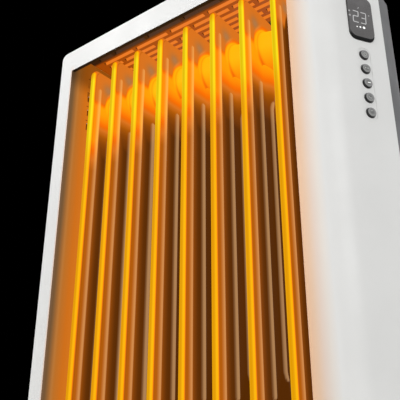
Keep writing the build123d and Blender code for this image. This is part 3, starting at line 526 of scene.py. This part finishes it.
def fin_enamel():
    """Painted glow of the fins over a near-black base.

    Attributes give each place's painted glow, its painted highlight on the crests with painted shade on a
    grey patch, and the painted shade in its rims' grooves."""
    made = finish("fin_enamel", (20, 11, 5), (14, 7, 3), (0.5, 0.62), scale=500.0, depth=0.04 * MM,
                  dust=0.02, Specular_IOR_Level=0.04)
    tree = made[1]
    glow_level, highlight_and_shade, groove_shade = [add(tree, "Attribute", attribute_name=label).outputs["Fac"] for label in FIN_MARKS]
    uneven = use(tree, GRAIN, Scale=90.0, Broad=22.0, Stretch=0.2)["Mottle"]
    glow_level = math(tree, "MULTIPLY", glow_level, band(tree, uneven, 0.0, 1.0, 0.98, 1.02))
    colour = mix(tree, highlight_and_shade, ramp(tree, glow_level, FIN_GLOW), ramp(tree, glow_level, CREST_GLOW))
    # The rims' grooves and necks are darkened as painted shade
    glow(made, mix(tree, groove_shade, colour, paint(226, 214, 90), blend_type="MULTIPLY"))
    return made[0]


def liner_sheet():
    """Sheet liners: a dark base colour as painted shade, with the core's orange light painted on."""
    made = finish("lit_sheet", (36, 24, 14), (28, 18, 10), (0.5, 0.6), scale=500.0, stretch=0.1, dust=0.0,
                  Specular_IOR_Level=0.2)
    glow(made, use(made[1], WALL)["Colour"])
    return made[0]


def lens_face():
    """Smoked lens: black along its lower edge as painted shade, and grey above as a painted reflection."""
    made = finish("black_lens", (86, 85, 85), (80, 79, 79), (0.12, 0.2), depth=0.005 * MM, dust=0.0,
                  Specular_IOR_Level=0.2)
    _, tree, shader, colour = made
    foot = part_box("display_lens")[0][2]
    grey = band(tree, place_in(tree)[2], foot + 4.0 * MM, foot + 12.0 * MM)
    tree.links.new(mix(tree, grey, paint(13, 13, 14), colour), shader.inputs["Base Color"])
    return made[0]


def button_cap():
    """Button face, darker towards the middle of its dish."""
    made = finish("button_face", (150, 150, 149), (138, 138, 137), (0.34, 0.46), broad=200.0)
    _, tree, shader, colour = made
    dish = add(tree, "Attribute", attribute_name="dish").outputs["Fac"]
    tree.links.new(mix(tree, dish, colour, paint(112, 112, 111)), shader.inputs["Base Color"])
    return made[0]


def plain(name, *values, **settings):
    """A finish without any glow."""
    return finish(name, *values, **settings)[0]


def shining(name, colour, strength):
    """Light given off by lit segments, lamps and a painted highlight: slightly uneven."""
    made = finish(name, colour, colour, (0.4, 0.5))
    tree = made[1]
    uneven = use(tree, GRAIN, Scale=400.0, Broad=300.0)["Mottle"]
    dim = paint(*[0.93 * level for level in colour])
    glow(made, mix(tree, uneven, paint(*colour), dim), strength)
    return made[0]


FINISHES = {
    "white": white_plastic(),
    "return": return_plastic(),
    "grille": grille_plastic(),
    "glowing_fin": fin_enamel(),
    "liner": liner_sheet(),
    "dark": plain("dark_moulding", (108, 108, 109), (100, 100, 101), (0.42, 0.55), depth=0.04 * MM,
                  pits=0.2),
    "inner": plain("inner_moulding", (206, 206, 200), (190, 190, 184), (0.5, 0.6)),
    "board": plain("circuit_board", (26, 84, 50), (20, 70, 42), (0.35, 0.5)),
    "steel": plain("plain_sheet", (150, 148, 144), (128, 126, 122), (0.3, 0.45), stretch=0.1, Metallic=0.9),
    "zinc": plain("zinc_plate", (188, 190, 190), (160, 162, 164), (0.25, 0.4), Metallic=1.0),
    "rubber": plain("gland_rubber", (30, 30, 31), (38, 38, 39), (0.6, 0.75), pits=0.3),
    "tread": plain("castor_tread", (44, 44, 46), (54, 54, 56), (0.5, 0.65), dust=0.3, pits=0.3),
    "lens": lens_face(),
    # The screen's grey is a painted reflection on the dark lens
    "screen": plain("display_window", (108, 106, 106), (98, 96, 96), (0.2, 0.3), scale=1500.0, broad=90.0,
                    depth=0.01 * MM, dust=0.0, pits=0.3, Specular_IOR_Level=0.2),
    "cap": button_cap(),
    # Button sides and hole rings coloured dark as painted shade
    "painted_side_shade": plain("button_side_shade", (26, 26, 27), (34, 34, 35), (0.4, 0.5)),
    "mark": plain("button_mark", (206, 209, 203), (196, 198, 194), (0.4, 0.5)),
    "segment": shining("lit_segment", (160, 160, 160), 0.7),
    "faint": shining("faint_segment", (136, 136, 136), 0.7),
    "highlight_bar": shining("painted_highlight_mark", (225, 225, 222), 0.8),
    "lamp": shining("status_lamp", (235, 235, 232), 0.9),
}


# Pieces

SAME_PLACE = 0.002 * MM


def piece(name, shape, body, finish_name, replaced=(), crease=40, attributes=(), flat=0.0, bevel=0.0):
    """A piece in the scene: merged, its faces outwards, riding on a body, with its finish."""
    points, faces = shape
    mesh = bpy.data.meshes.new(name)
    mesh.from_pydata(points.tolist(), [], faces)
    for label, values in dict(attributes).items():
        mesh.attributes.new(label, "FLOAT", "POINT").data.foreach_set("value", values)
    work = bmesh.new()
    work.from_mesh(mesh)
    bmesh.ops.remove_doubles(work, verts=work.verts, dist=SAME_PLACE)
    if flat:
        bmesh.ops.dissolve_limit(work, angle_limit=radians(flat), verts=work.verts, edges=work.edges)
    bmesh.ops.recalc_face_normals(work, faces=work.faces)
    work.to_mesh(mesh)
    work.free()
    mesh.polygons.foreach_set("use_smooth", [True] * len(mesh.polygons))
    if not bevel:
        mesh.set_sharp_from_angle(angle=radians(crease))
    made = bpy.data.objects.new(name, mesh)
    bpy.context.scene.collection.objects.link(made)
    mesh.materials.append(FINISHES[finish_name])
    if bevel:
        edge = made.modifiers.new("eased_edges", "BEVEL")
        edge.limit_method = "ANGLE"
        edge.angle_limit = radians(crease)
        edge.width = bevel * MM
        edge.segments = 2
        edge.harden_normals = True
    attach(made, body)
    if replaced:
        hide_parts(*replaced)
    return made


def eased(node, finish_name, width, body="case"):
    """A CAD piece with its edges rounded over a width in millimetres."""
    return piece(node + "_eased", cad_shape(node), body, finish_name, (node,), crease=28, flat=0.5,
                 bevel=width)


def smooth(value, start, end):
    """Smooth step 3t^2 - 2t^3 of an array between start and end, which may run either way."""
    t = np.clip((value - start) / (end - start), 0, 1)
    return t * t * (3 - 2 * t)


def fin_ring():
    """One turn round a fin's plan: place across, half thickness with its side's sign, and 1 on the flanks.

    A flank is a straight line of even steps, and each rim follows the profile RIM and its mirror."""
    flank_half = FIN_HALF_DEPTH - RIM[0, 1]
    flank = np.linspace(-flank_half, flank_half, 73)
    half = np.concatenate([RIM[:, 0], -RIM[-2::-1, 0]])
    back = np.concatenate([RIM[:, 1], RIM[-2::-1, 1]])
    zeros, ones = np.zeros(len(half)), np.ones(len(flank))
    across = np.concatenate([flank, FIN_HALF_DEPTH - back, -flank, back - FIN_HALF_DEPTH])
    thick = np.concatenate([ones * PLATE_HALF, half, -ones * PLATE_HALF, -half])
    plate = np.concatenate([ones, zeros, ones, zeros])
    return across, thick, plate


def fin_heights():
    """Heights of a fin's rows: close together near both ends, wide apart along the middle."""
    total = FIN_HIGH - FIN_LOW
    corner = np.array((0.0, 0.15, 0.45, 1.0, 2.2, 4.0, 6.0, 8.5, 11.0, FIN_CORNER))
    beside_hub = np.arange(16.5, 166.0, 2.5)
    along = np.linspace(170.0, total / 2, 14)[:-1]
    half = np.concatenate([corner, beside_hub, along])
    return FIN_LOW + np.concatenate([half, [total / 2], (total - half)[::-1]])


def pressed_rise(across, height):
    """Rise of the channels and of the hubs' tails above the plate, and the painted highlight on the
    channels' crests.

    A channel rises as (1 - (d/w)^2)^1.2 with d the distance from its middle line, a tail as
    (1 - (d/w)^2)^0.85, whose width and crest shrink from the hub to its tip. Tail and channel blend as the
    fourth root of the sum of their fourth powers. The outer channels get the painted highlight on their
    crests only."""
    total = np.zeros(np.broadcast(across, height).shape)
    pale = total.copy()
    for offset, drop in CHANNELS:
        run = (FIN_HIGH - FIN_LOW) / 2 - drop - CHANNEL_HALF
        past = np.maximum(0, np.abs(height - FIN_MIDDLE) - run)
        share = np.clip(1 - ((across - offset) ** 2 + past ** 2) / CHANNEL_HALF ** 2, 0, 1)
        total = np.maximum(total, CHANNEL_RISE * share ** 1.2)
        # pale is the painted highlight along each channel's crest
        start, full = (0.60, 0.96) if abs(offset) > OUTER_CHANNEL else (0.30, 0.80)
        pale = np.maximum(pale, smooth(share, start, full))
    for hub in HUB_HEIGHTS:
        down = (hub - height) * np.sign(hub - FIN_MIDDLE)
        part = np.clip(down / TAIL_RUN, 0, 1)
        half = TAIL_HALVES[0] * (1 - part) + TAIL_HALVES[1] * part
        top = TAIL_CRESTS[0] * (1 - part) ** 0.7 + TAIL_CRESTS[1] * part
        past = np.maximum(0, np.abs(down - TAIL_RUN / 2) - TAIL_RUN / 2)
        share = np.clip(1 - (across ** 2 + past ** 2) / half ** 2, 0, 1) ** 0.85
        total = (total ** 4 + (top * share) ** 4) ** 0.25
    return total, pale


def glow_drop(centre):
    """How many millimetres further down the top hubs' glow runs: from the third fin on, a step for each."""
    return GLOW_STEP * max((centre - FIRST_FIN) / FIN_PITCH - 2, 0)


def flank_glow(across, height, drop, glowing=1.0):
    """A flank's painted glow, 0 to 1, and its grey patch of painted shade.

    It is dull in the middle and brighter beside the rims, and glows round and below the top hub. Above the
    hub, past a circle of GLOW_RADIUS, it is even, with a grey patch of painted shade that falls off as
    exp(-(a/R)^2 - (b/R)^2), where a and b are the distances from its middle and R is the patch's reach."""
    edge = np.abs(across) + 0 * height
    far = HUB_HEIGHTS[1] - height + 0 * edge
    glow_level = np.interp(edge, *zip(*FLANK_GLOW))
    gap = 0.36 * np.clip((120 - far) / 50, 0, 1) * smooth(edge, 49, 54) * smooth(far, -22, 0)
    below = np.interp(far - drop, *zip(*GLOW_BELOW))
    lower_glow = np.maximum(glow_level + gap * glowing, np.where(edge < 52, 0.05 + below * glowing, 0))
    circle = np.sqrt(np.maximum(GLOW_RADIUS ** 2 - edge ** 2, 0))
    top = smooth(-far - circle, -8, 8)
    grey = np.exp(-((edge - SHADE_PATCH_ACROSS) / SHADE_PATCH_REACH) ** 2 - ((far + SHADE_PATCH_ABOVE) / SHADE_PATCH_REACH) ** 2)
    return lower_glow * (1 - top) + (TOP_GLOW - 0.22 * grey) * top, 0.75 * grey * top


def rim_glow(height):
    """Painted glow of the folded rims: a smooth rise beside the top hub, then a fall over the last 26 mm.
    """
    below_top = FIN_HIGH - height
    rise = 0.13 * smooth(below_top, 190, 110)
    fall = 0.10 * smooth(below_top, 26, 10) + 0.50 * smooth(below_top, 10, 3)
    return RIM_GLOW + rise - fall


def fin_shell(number, centre):
    """The two welded sheets of a fin: its plan's turn carried up the fin, rounded at the corners.

    At a distance d from the end, under the corner's radius R, the depth shrinks by
    R - sqrt(R^2 - (R - d)^2), and the rim thins down to the plate."""
    across, thick, plate = (row[None, :] for row in fin_ring())
    height = fin_heights()[:, None]
    end = np.minimum(height - FIN_LOW, FIN_HIGH - height)
    inside = np.maximum(FIN_CORNER - end, 0)
    shrink = FIN_CORNER - np.sqrt(FIN_CORNER ** 2 - inside ** 2)
    wide = across * (1 - shrink / FIN_HALF_DEPTH)
    keep = smooth(end, 0, FIN_CORNER)
    edge = np.abs(thick)
    half = np.where(edge > PLATE_HALF, PLATE_HALF + (edge - PLATE_HALF) * keep, edge)
    rounding = np.sqrt(np.clip(1 - (1 - np.minimum(end, 1)) ** 2, 0, 1))
    rise, pale = pressed_rise(across, height)
    x = np.sign(thick) * (half * rounding + rise * plate)
    rows = np.stack(np.broadcast_arrays(x * MM + centre, wide * MM, height * MM), axis=-1)
    back = FIN_HALF_DEPTH - np.abs(across)
    # Painted glow on the rims and flanks, painted shade in the rims' grooves and necks, painted highlight
    # on the crests and painted shade on the grey patch
    on_rim = 1 - smooth(back, 3.4, 6.6)
    left, right = number > 1, number < FIN_COUNT
    flank, grey = flank_glow(across, height, glow_drop(centre), np.where(thick > 0, right, left))
    glow_level = flank + (rim_glow(height) - flank) * on_rim
    groove_shade = (1 - plate) * (0.85 * smooth(edge, 2.9, 2.1) + 0.6 * smooth(edge, 0.9, 0.5))
    highlight_and_shade = np.maximum(pale, grey) * plate
    return grid_shape(rows), glow_level.ravel(), highlight_and_shade.ravel(), (groove_shade + 0 * glow_level).ravel()


def hub_shell(centre, side, height, capped):
    """A drum turned from a profile: a fillet off the plate, a slow taper, then the weld or a cap.

    Its painted glow rises from its foot upwards, runs into the flank's over the flange, and dips in a
    painted shadow line along the circle where the drum meets the plate."""
    reach = HUB_CAP_REACH if capped else HUB_REACH
    profile = [(0.2, 0.0), (0.2, 38.0), (1.1, 37.6), (1.35, 36.4), (1.9, 34.6), (3.0, 33.0), (4.6, 32.0),
               (7.0, 31.3), (10.0, 30.7)]
    if capped:
        profile += [(11.4, 30.0), (12.5, 28.6), (reach, 26.4), (reach, 10.0), (reach, 0.0)]
    else:
        profile += [(14.0, 29.9), (18.0, 29.1), (21.5, 28.4), (23.0, 28.1), (23.5, 28.7), (24.0, 29.1),
                    (reach, 29.2), (reach, 12.0), (reach, 0.0)]
    start = np.array((centre, 0.0, height * MM))
    points, faces = turned(np.array(profile) * MM, start, (side, 0.0, 0.0), steps=64)
    _, across, up = points.T / MM
    lift = up - height
    if height < FIN_MIDDLE:
        glow_level = np.full(len(points), LOW_HUB_GLOW)
    elif capped:
        glow_level = np.full(len(points), CAP_GLOW)
    else:
        glow_level = 0.56 + 0.32 * np.clip((lift + 33) / 26, 0, 1) ** 0.8
    out = np.hypot(across, lift)
    flank, _ = flank_glow(across, up, glow_drop(centre), 0.0 if capped else 1.0)
    glow_level += (flank - glow_level) * smooth(out, 35.0, 37.0)
    # A painted shadow line where the drum meets the plate
    glow_level -= 0.16 * smooth(np.abs(out - HUB_SHADOW_LINE), 1.8, 0.6)
    bare = np.zeros(len(points))
    return (points, faces), glow_level, bare, bare


def oil_fin(number):
    """One fin with its four drums."""
    centre = FIRST_FIN + FIN_PITCH * (number - 1)
    parts = [fin_shell(number, centre)]
    for height in HUB_HEIGHTS:
        parts.append(hub_shell(centre, -1, height, number == 1))
        parts.append(hub_shell(centre, 1, height, number == FIN_COUNT))
    shape = joined([part[0] for part in parts])
    marks = {label: np.concatenate([part[order] for part in parts])
             for order, label in enumerate(FIN_MARKS, start=1)}
    piece(f"fin_{number}_pressed", shape, "case", "glowing_fin", (f"fin_{number}",), crease=50,
          attributes=marks)


def button(number, height):
    """A round cap turned from two profiles: a side flanged behind the panel, coloured dark as painted
    shade, and a dished face.
    """
    body = f"push_button_{number}"
    back, top, edge = -4.4, BUTTON_PROUD, BUTTON_RADIUS
    flange, front = edge + BUTTON_FLANGE, back + 1.2
    start = on_panel((BUTTON_ALONG, height, 0.0))
    side = [(back, 0), (back, flange), (front, flange), (front, edge), (top - 0.9, edge),
            (top - 0.68, edge - 0.07), (top - 0.5, edge - 0.25), (top - 0.65, edge - 0.75), (top - 0.65, 0)]
    piece(f"button_{number}_side", turned(np.array(side) * MM, start, PANEL_OUT), body, "painted_side_shade",
          (f"button_{number}",))
    face = [(top - 0.85, 0), (top - 0.85, edge - 0.5), (top - 0.42, edge - 0.35), (top - 0.12, edge - 0.6),
            (top, edge - 1.0), (top - 0.12, edge - 1.9), (top - 0.28, edge - 3.0), (top - 0.38, 1.4),
            (top - 0.42, 0)]
    shape = turned(np.array(face) * MM, start, PANEL_OUT)
    away = (shape[0] - start) / MM
    out = np.linalg.norm(away - np.outer(away @ PANEL_OUT, PANEL_OUT), axis=1)
    piece(f"button_{number}_face", shape, body, "cap",
          attributes={"dish": smooth(out, 4.4, 1.6)})


def button_marks():
    """Plain symbols on the caps: a ring with a bar, two dots, a glowing bar as a painted highlight, a curve
    and a short bar.
    """
    low, high = BUTTON_PROUD - 0.6, BUTTON_PROUD - 0.22
    sweep = np.linspace(radians(125), radians(415), 15)
    ring = 1.9 * np.stack([np.cos(sweep), np.sin(sweep)], axis=1)
    lines = {1: ([ring, np.array([(0, 0.4), (0, 2.2)])], 0.5, "mark"),
             3: ([np.array([(-0.6, 0.1), (2.4, 0.1)])], 1.0, "highlight_bar"),
             4: ([ring[3:10] + np.array((0.4, 0.6))], 0.6, "mark"),
             5: ([np.array([(-1.6, 1.0), (0.2, 1.6)])], 0.7, "mark")}
    for number, height in enumerate(BUTTON_HEIGHTS, start=1):
        middle = np.array((BUTTON_ALONG, height))
        if number in lines:
            paths, width, look = lines[number]
            marks = [stroke(path + middle, width, low, high, 0.1) for path in paths]
        else:
            look = "mark"
            marks = [dot(BUTTON_ALONG + along, height + 0.3, 0.75, low, high) for along in (-1.5, 1.5)]
        piece(f"button_{number}_mark", joined(marks), f"push_button_{number}", look)


def button_rings():
    """Thin rings round the buttons' holes, coloured dark as painted shade, turned from a small profile in
    the recessed strip.
    """
    back = -1.2
    profile = [(back, HOLE_RADIUS), (back, RING_RADIUS), (STRIP_DEPTH + 0.1, RING_RADIUS),
               (STRIP_DEPTH + 0.14, RING_RADIUS - 0.1), (STRIP_DEPTH + 0.14, HOLE_RADIUS + 0.08),
               (STRIP_DEPTH + 0.05, HOLE_RADIUS)]
    rings = [turned(np.array(profile) * MM, on_panel((BUTTON_ALONG, height, 0)), PANEL_OUT, ring=True)
             for height in BUTTON_HEIGHTS]
    piece("button_hole_rings", joined(rings), "case", "painted_side_shade")


def display():
    """The lit window on the lens: a screen painted grey as a reflection, two digits, lamps and small marks.

    The screen is a rounded plate, the digits are strokes along paths of corners, and the rest are dots."""
    top = LENS_PROUD + 0.06
    levels = ((0, LENS_PROUD - 0.5), (0, LENS_PROUD + 0.01), (0.25, top))
    window = panel_plate(np.array((33.4, LENS_HEIGHT + 1.6)), width=33.6, height=58.8, corner=8.4,
                         levels=levels)
    piece("display_window", window, "case", "screen")
    low, high = LENS_PROUD - 0.2, top + 0.05
    middle = np.array((0.0, LENS_HEIGHT))
    two = ((23.0, 8.2), (29.9, 8.2), (29.4, 1.0), (22.3, 1.0), (21.8, -7.6), (28.9, -7.6))
    three = ((33.9, 8.2), (40.7, 8.2), (39.6, -7.4), (32.9, -7.4))
    bar = ((34.4, 0.2), (40.0, 0.2))
    digits = [stroke(path + middle, 1.15, low, high, 1.2) for path in (two, three, bar)]
    piece("display_digits", joined(digits), "case", "segment")
    faint_spots = ((17.4, 6.6, 1.2), (17.6, 0.2, 1.3), (45.1, 6.4, 0.9))
    lamp_spots = ((26.2, -14.2, 0.8), (30.8, -13.8, 1.1), (36.0, -13.4, 1.6))
    faint, lamps = [[dot(along, LENS_HEIGHT + rise, radius, low, high) for along, rise, radius in spots]
                    for spots in (faint_spots, lamp_spots)]
    faint.append(stroke(((30.3, 13.2), (31.3, 14.8)) + middle, 1.0, low, high))
    piece("display_marks", joined(faint), "case", "faint")
    piece("status_lamps", joined(lamps), "case", "lamp")


def castor_wheel(number):
    """A wheel turned from a mirrored profile: rounded tread, recessed sides and a hub with its bore."""
    middle = np.mean(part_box(f"castor_wheel_{number}"), axis=0)
    side, tread = WHEEL_HALF, WHEEL_RADIUS
    half = [(0.0, tread), (0.55 * side, tread - 0.15), (0.78 * side, tread - 0.8),
            (0.93 * side, tread - 2.0), (side, tread - 3.8), (side, tread - 6.0),
            (0.62 * side, tread - 7.2), (0.55 * side, 9.0), (0.60 * side, 7.2), (side, 6.6),
            (side, AXLE_SPACE + 0.6), (0.96 * side, AXLE_SPACE)]
    mirrored = [(-along, out) for along, out in half[:0:-1]]
    shape = turned(np.array(half + mirrored) * MM, middle, BACKWARD, steps=72, ring=True)
    piece(f"castor_wheel_{number}_turned", shape, f"wheel_{number}", "tread",
          (f"castor_wheel_{number}",), crease=32)


def cable_gland():
    """A rubber bush turned from one profile: a neck in the wall, a rounded flange and a grip outside."""
    profile = np.array([
        (0.0, 4.2), (0.0, 7.4), (0.6, 8.0), (11.9, 8.0), (12.05, 10.6), (12.6, 11.0), (13.4, 11.0),
        (14.2, 10.3), (14.9, 9.2), (15.2, 9.2), (15.5, 9.7), (16.0, 9.6), (16.7, 8.6), (17.0, 7.6),
        (17.0, 4.8), (16.6, 4.15),
    ]) * MM
    shape = turned(profile, GLAND_AT, BACKWARD, steps=56, ring=True)
    piece("cable_gland_turned", shape, "case", "rubber", ("cable_gland",), crease=50)


def rear_screws():
    """Pan-head screws in the rear frame, turned from one profile, each with a cross of two dark bars as the
    painted shade of its recess.
    """
    heads, crosses = [], []
    profile = np.array([(-24.0, 0), (-24.0, 1.2), (-22.5, 1.9), (0.0, 1.9), (0.0, 4.0), (0.9, 3.9),
                        (1.5, 3.3), (1.85, 2.2), (1.95, 0)]) * MM
    top = SCREW_SEAT + 1.98 * MM
    bottom = top - 0.5 * MM
    long = 2.1 * MM
    short = 0.35 * MM
    for x in SCREW_COLUMNS:
        for z in SCREW_HEIGHTS:
            heads.append(turned(profile, (x, SCREW_SEAT, z), BACKWARD, steps=32))
            for wide, high in ((long, short), (short, long)):
                crosses.append(box_shape((x - wide, bottom, z - high), (x + wide, top, z + high)))
    piece("case_screws_turned", joined(heads), "case", "zinc", ("case_screws",), crease=32)
    # Dark bars as the painted shade in the screws' cross recesses
    piece("case_screw_recesses", joined(crosses), "case", "rubber")


def window_returns(made):
    """Gives the walls inside a frame's window and above its soffit their own finish: painted shade with the
    core's painted light.
    """
    made.data.materials.append(FINISHES["return"])
    for face in made.data.polygons:
        x, y, z = face.center
        beside = min(abs(x - WINDOW_LEFT), abs(x - WINDOW_RIGHT)) < NEAR
        above = z > SOFFIT_LOW and WINDOW_LEFT - MM < x < WINDOW_RIGHT + MM
        side = abs(face.normal.x) > 0.9 and beside
        sill = abs(face.normal.z) > 0.9 and abs(z - WINDOW_FOOT) < NEAR
        soffit = face.normal.z < -0.9 and above
        behind = abs(face.normal.y) > 0.9 and above and abs(y) < BEHIND_FACE
        if side or sill or soffit or behind:
            face.material_index = 1


def cover_lining(made):
    """Gives the left cover's inner face, behind the slotted liner, the liners' painted shade and the core's
    painted light.
    """
    made.data.materials.append(FINISHES["liner"])
    for face in made.data.polygons:
        if face.normal.x > 0.9:
            face.material_index = 1


# The case and its fittings
for node in ("front_frame", "rear_frame"):
    window_returns(eased(node, "white", 0.5))
cover_lining(eased("left_cover", "white", 0.4))
eased("top_grille", "grille", 0.25)
eased("end_cover", "dark", 0.8)
eased("display_lens", "lens", 0.35)
for node in ("foot_left", "foot_right"):
    eased(node, "dark", 0.8)
for node in ("left_liner", "right_liner"):
    eased(node, "liner", 0.3)
eased("base_tray", "steel", 0.3)
eased("hold_down_straps", "zinc", 0.3)
eased("hold_down_bolts", "zinc", 0.3)
eased("core_saddles", "steel", 0.4)
for number in range(1, 5):
    eased(f"castor_fork_{number}", "zinc", 0.3, f"castor_{number}")
    castor_wheel(number)
eased("heating_element", "zinc", 0.4)
eased("thermal_cutout", "rubber", 0.3)
eased("filler_plug", "zinc", 0.4)
cable_gland()
rear_screws()

# The core and the controls
for number in range(1, FIN_COUNT + 1):
    oil_fin(number)
for number, height in enumerate(BUTTON_HEIGHTS, start=1):
    button(number, height)
button_marks()
button_rings()
display()

# Inner pieces keep their CAD shape and get a finish
INNER = {
    "display_module": "lens", "tact_switches": "rubber", "control_board": "board", "board_carrier": "inner",
    "board_screws": "zinc", "power_board": "board", "tilt_switch": "inner", "tilt_weight": "zinc",
    "frame_screws": "zinc",
}
for node, finish_name in INNER.items():
    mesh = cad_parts[node].data
    mesh.materials.clear()
    mesh.materials.append(FINISHES[finish_name])


# Studio

FLOOR_REACH = 6.0
# The photograph's camera: place, tilt and turn in degrees, and lens in millimetres
CAMERA_PLACE = (0.4256, -0.5978, FIN_HIGH * MM - 0.54)
CAMERA_TILT = 110.99
CAMERA_TURN = 37.29
CAMERA_LENS = 50.85


def soft_light(name, place, aim, size, power):
    """A square soft light turned towards a point."""
    light = bpy.data.lights.new(name, "AREA")
    light.size = size
    light.energy = power
    made = bpy.data.objects.new(name, light)
    made.location = place
    direction = Vector(aim) - Vector(place)
    made.rotation_euler = direction.to_track_quat("-Z", "Y").to_euler()
    bpy.context.scene.collection.objects.link(made)


def studio():
    """Pale floor, soft lights, a dark backdrop and the camera low in front, to the right."""
    scene = bpy.context.scene
    floor = bpy.data.meshes.new("floor")
    corners = [(x * FLOOR_REACH, y * FLOOR_REACH, 0) for x, y in ((-1, -1), (1, -1), (1, 1), (-1, 1))]
    floor.from_pydata(corners, [], [(0, 1, 2, 3)])
    pale = plain("pale_floor", (214, 213, 210), (208, 207, 204), (0.6, 0.7), broad=3.0, dust=0.0)
    floor.materials.append(pale)
    ground = bpy.data.objects.new("floor", floor)
    scene.collection.objects.link(ground)
    soft_light("front_softbox", (-0.9, -2.4, 1.7), (0.0, 0.0, 0.4), 2.0, 25)
    soft_light("right_softbox", (2.2, -1.2, 1.3), (0.1, 0.0, 0.4), 1.6, 18)
    soft_light("near_lamp", (-0.45, -0.55, 1.12), (-0.3, -0.05, 0.7), 0.3, 0.95)
    soft_light("top_softbox", (0.0, 0.3, 2.4), (0.0, 0.0, 0.5), 1.6, 16)
    soft_light("back_softbox", (-0.6, 2.4, 1.4), (0.0, 0.0, 0.4), 2.0, 26)
    world = bpy.data.worlds.new("studio_world")
    world.use_nodes = True
    scene.world = world
    tree = world.node_tree
    seen = add(tree, "LightPath").outputs["Is Camera Ray"]
    surround = tree.nodes["Background"]
    tree.links.new(mix(tree, seen, paint(235, 236, 238), BLACK), surround.inputs["Color"])
    surround.inputs["Strength"].default_value = 0.6
    view = bpy.data.cameras.new("photo_camera")
    view.lens = CAMERA_LENS
    view.sensor_width = 36.0
    view.clip_start = 0.01
    camera = bpy.data.objects.new("photo_camera", view)
    camera.location = CAMERA_PLACE
    camera.rotation_euler = (radians(CAMERA_TILT), 0.0, radians(CAMERA_TURN))
    scene.collection.objects.link(camera)
    scene.camera = camera
    scene.view_settings.view_transform = "Standard"
    scene.view_settings.look = "None"


studio()
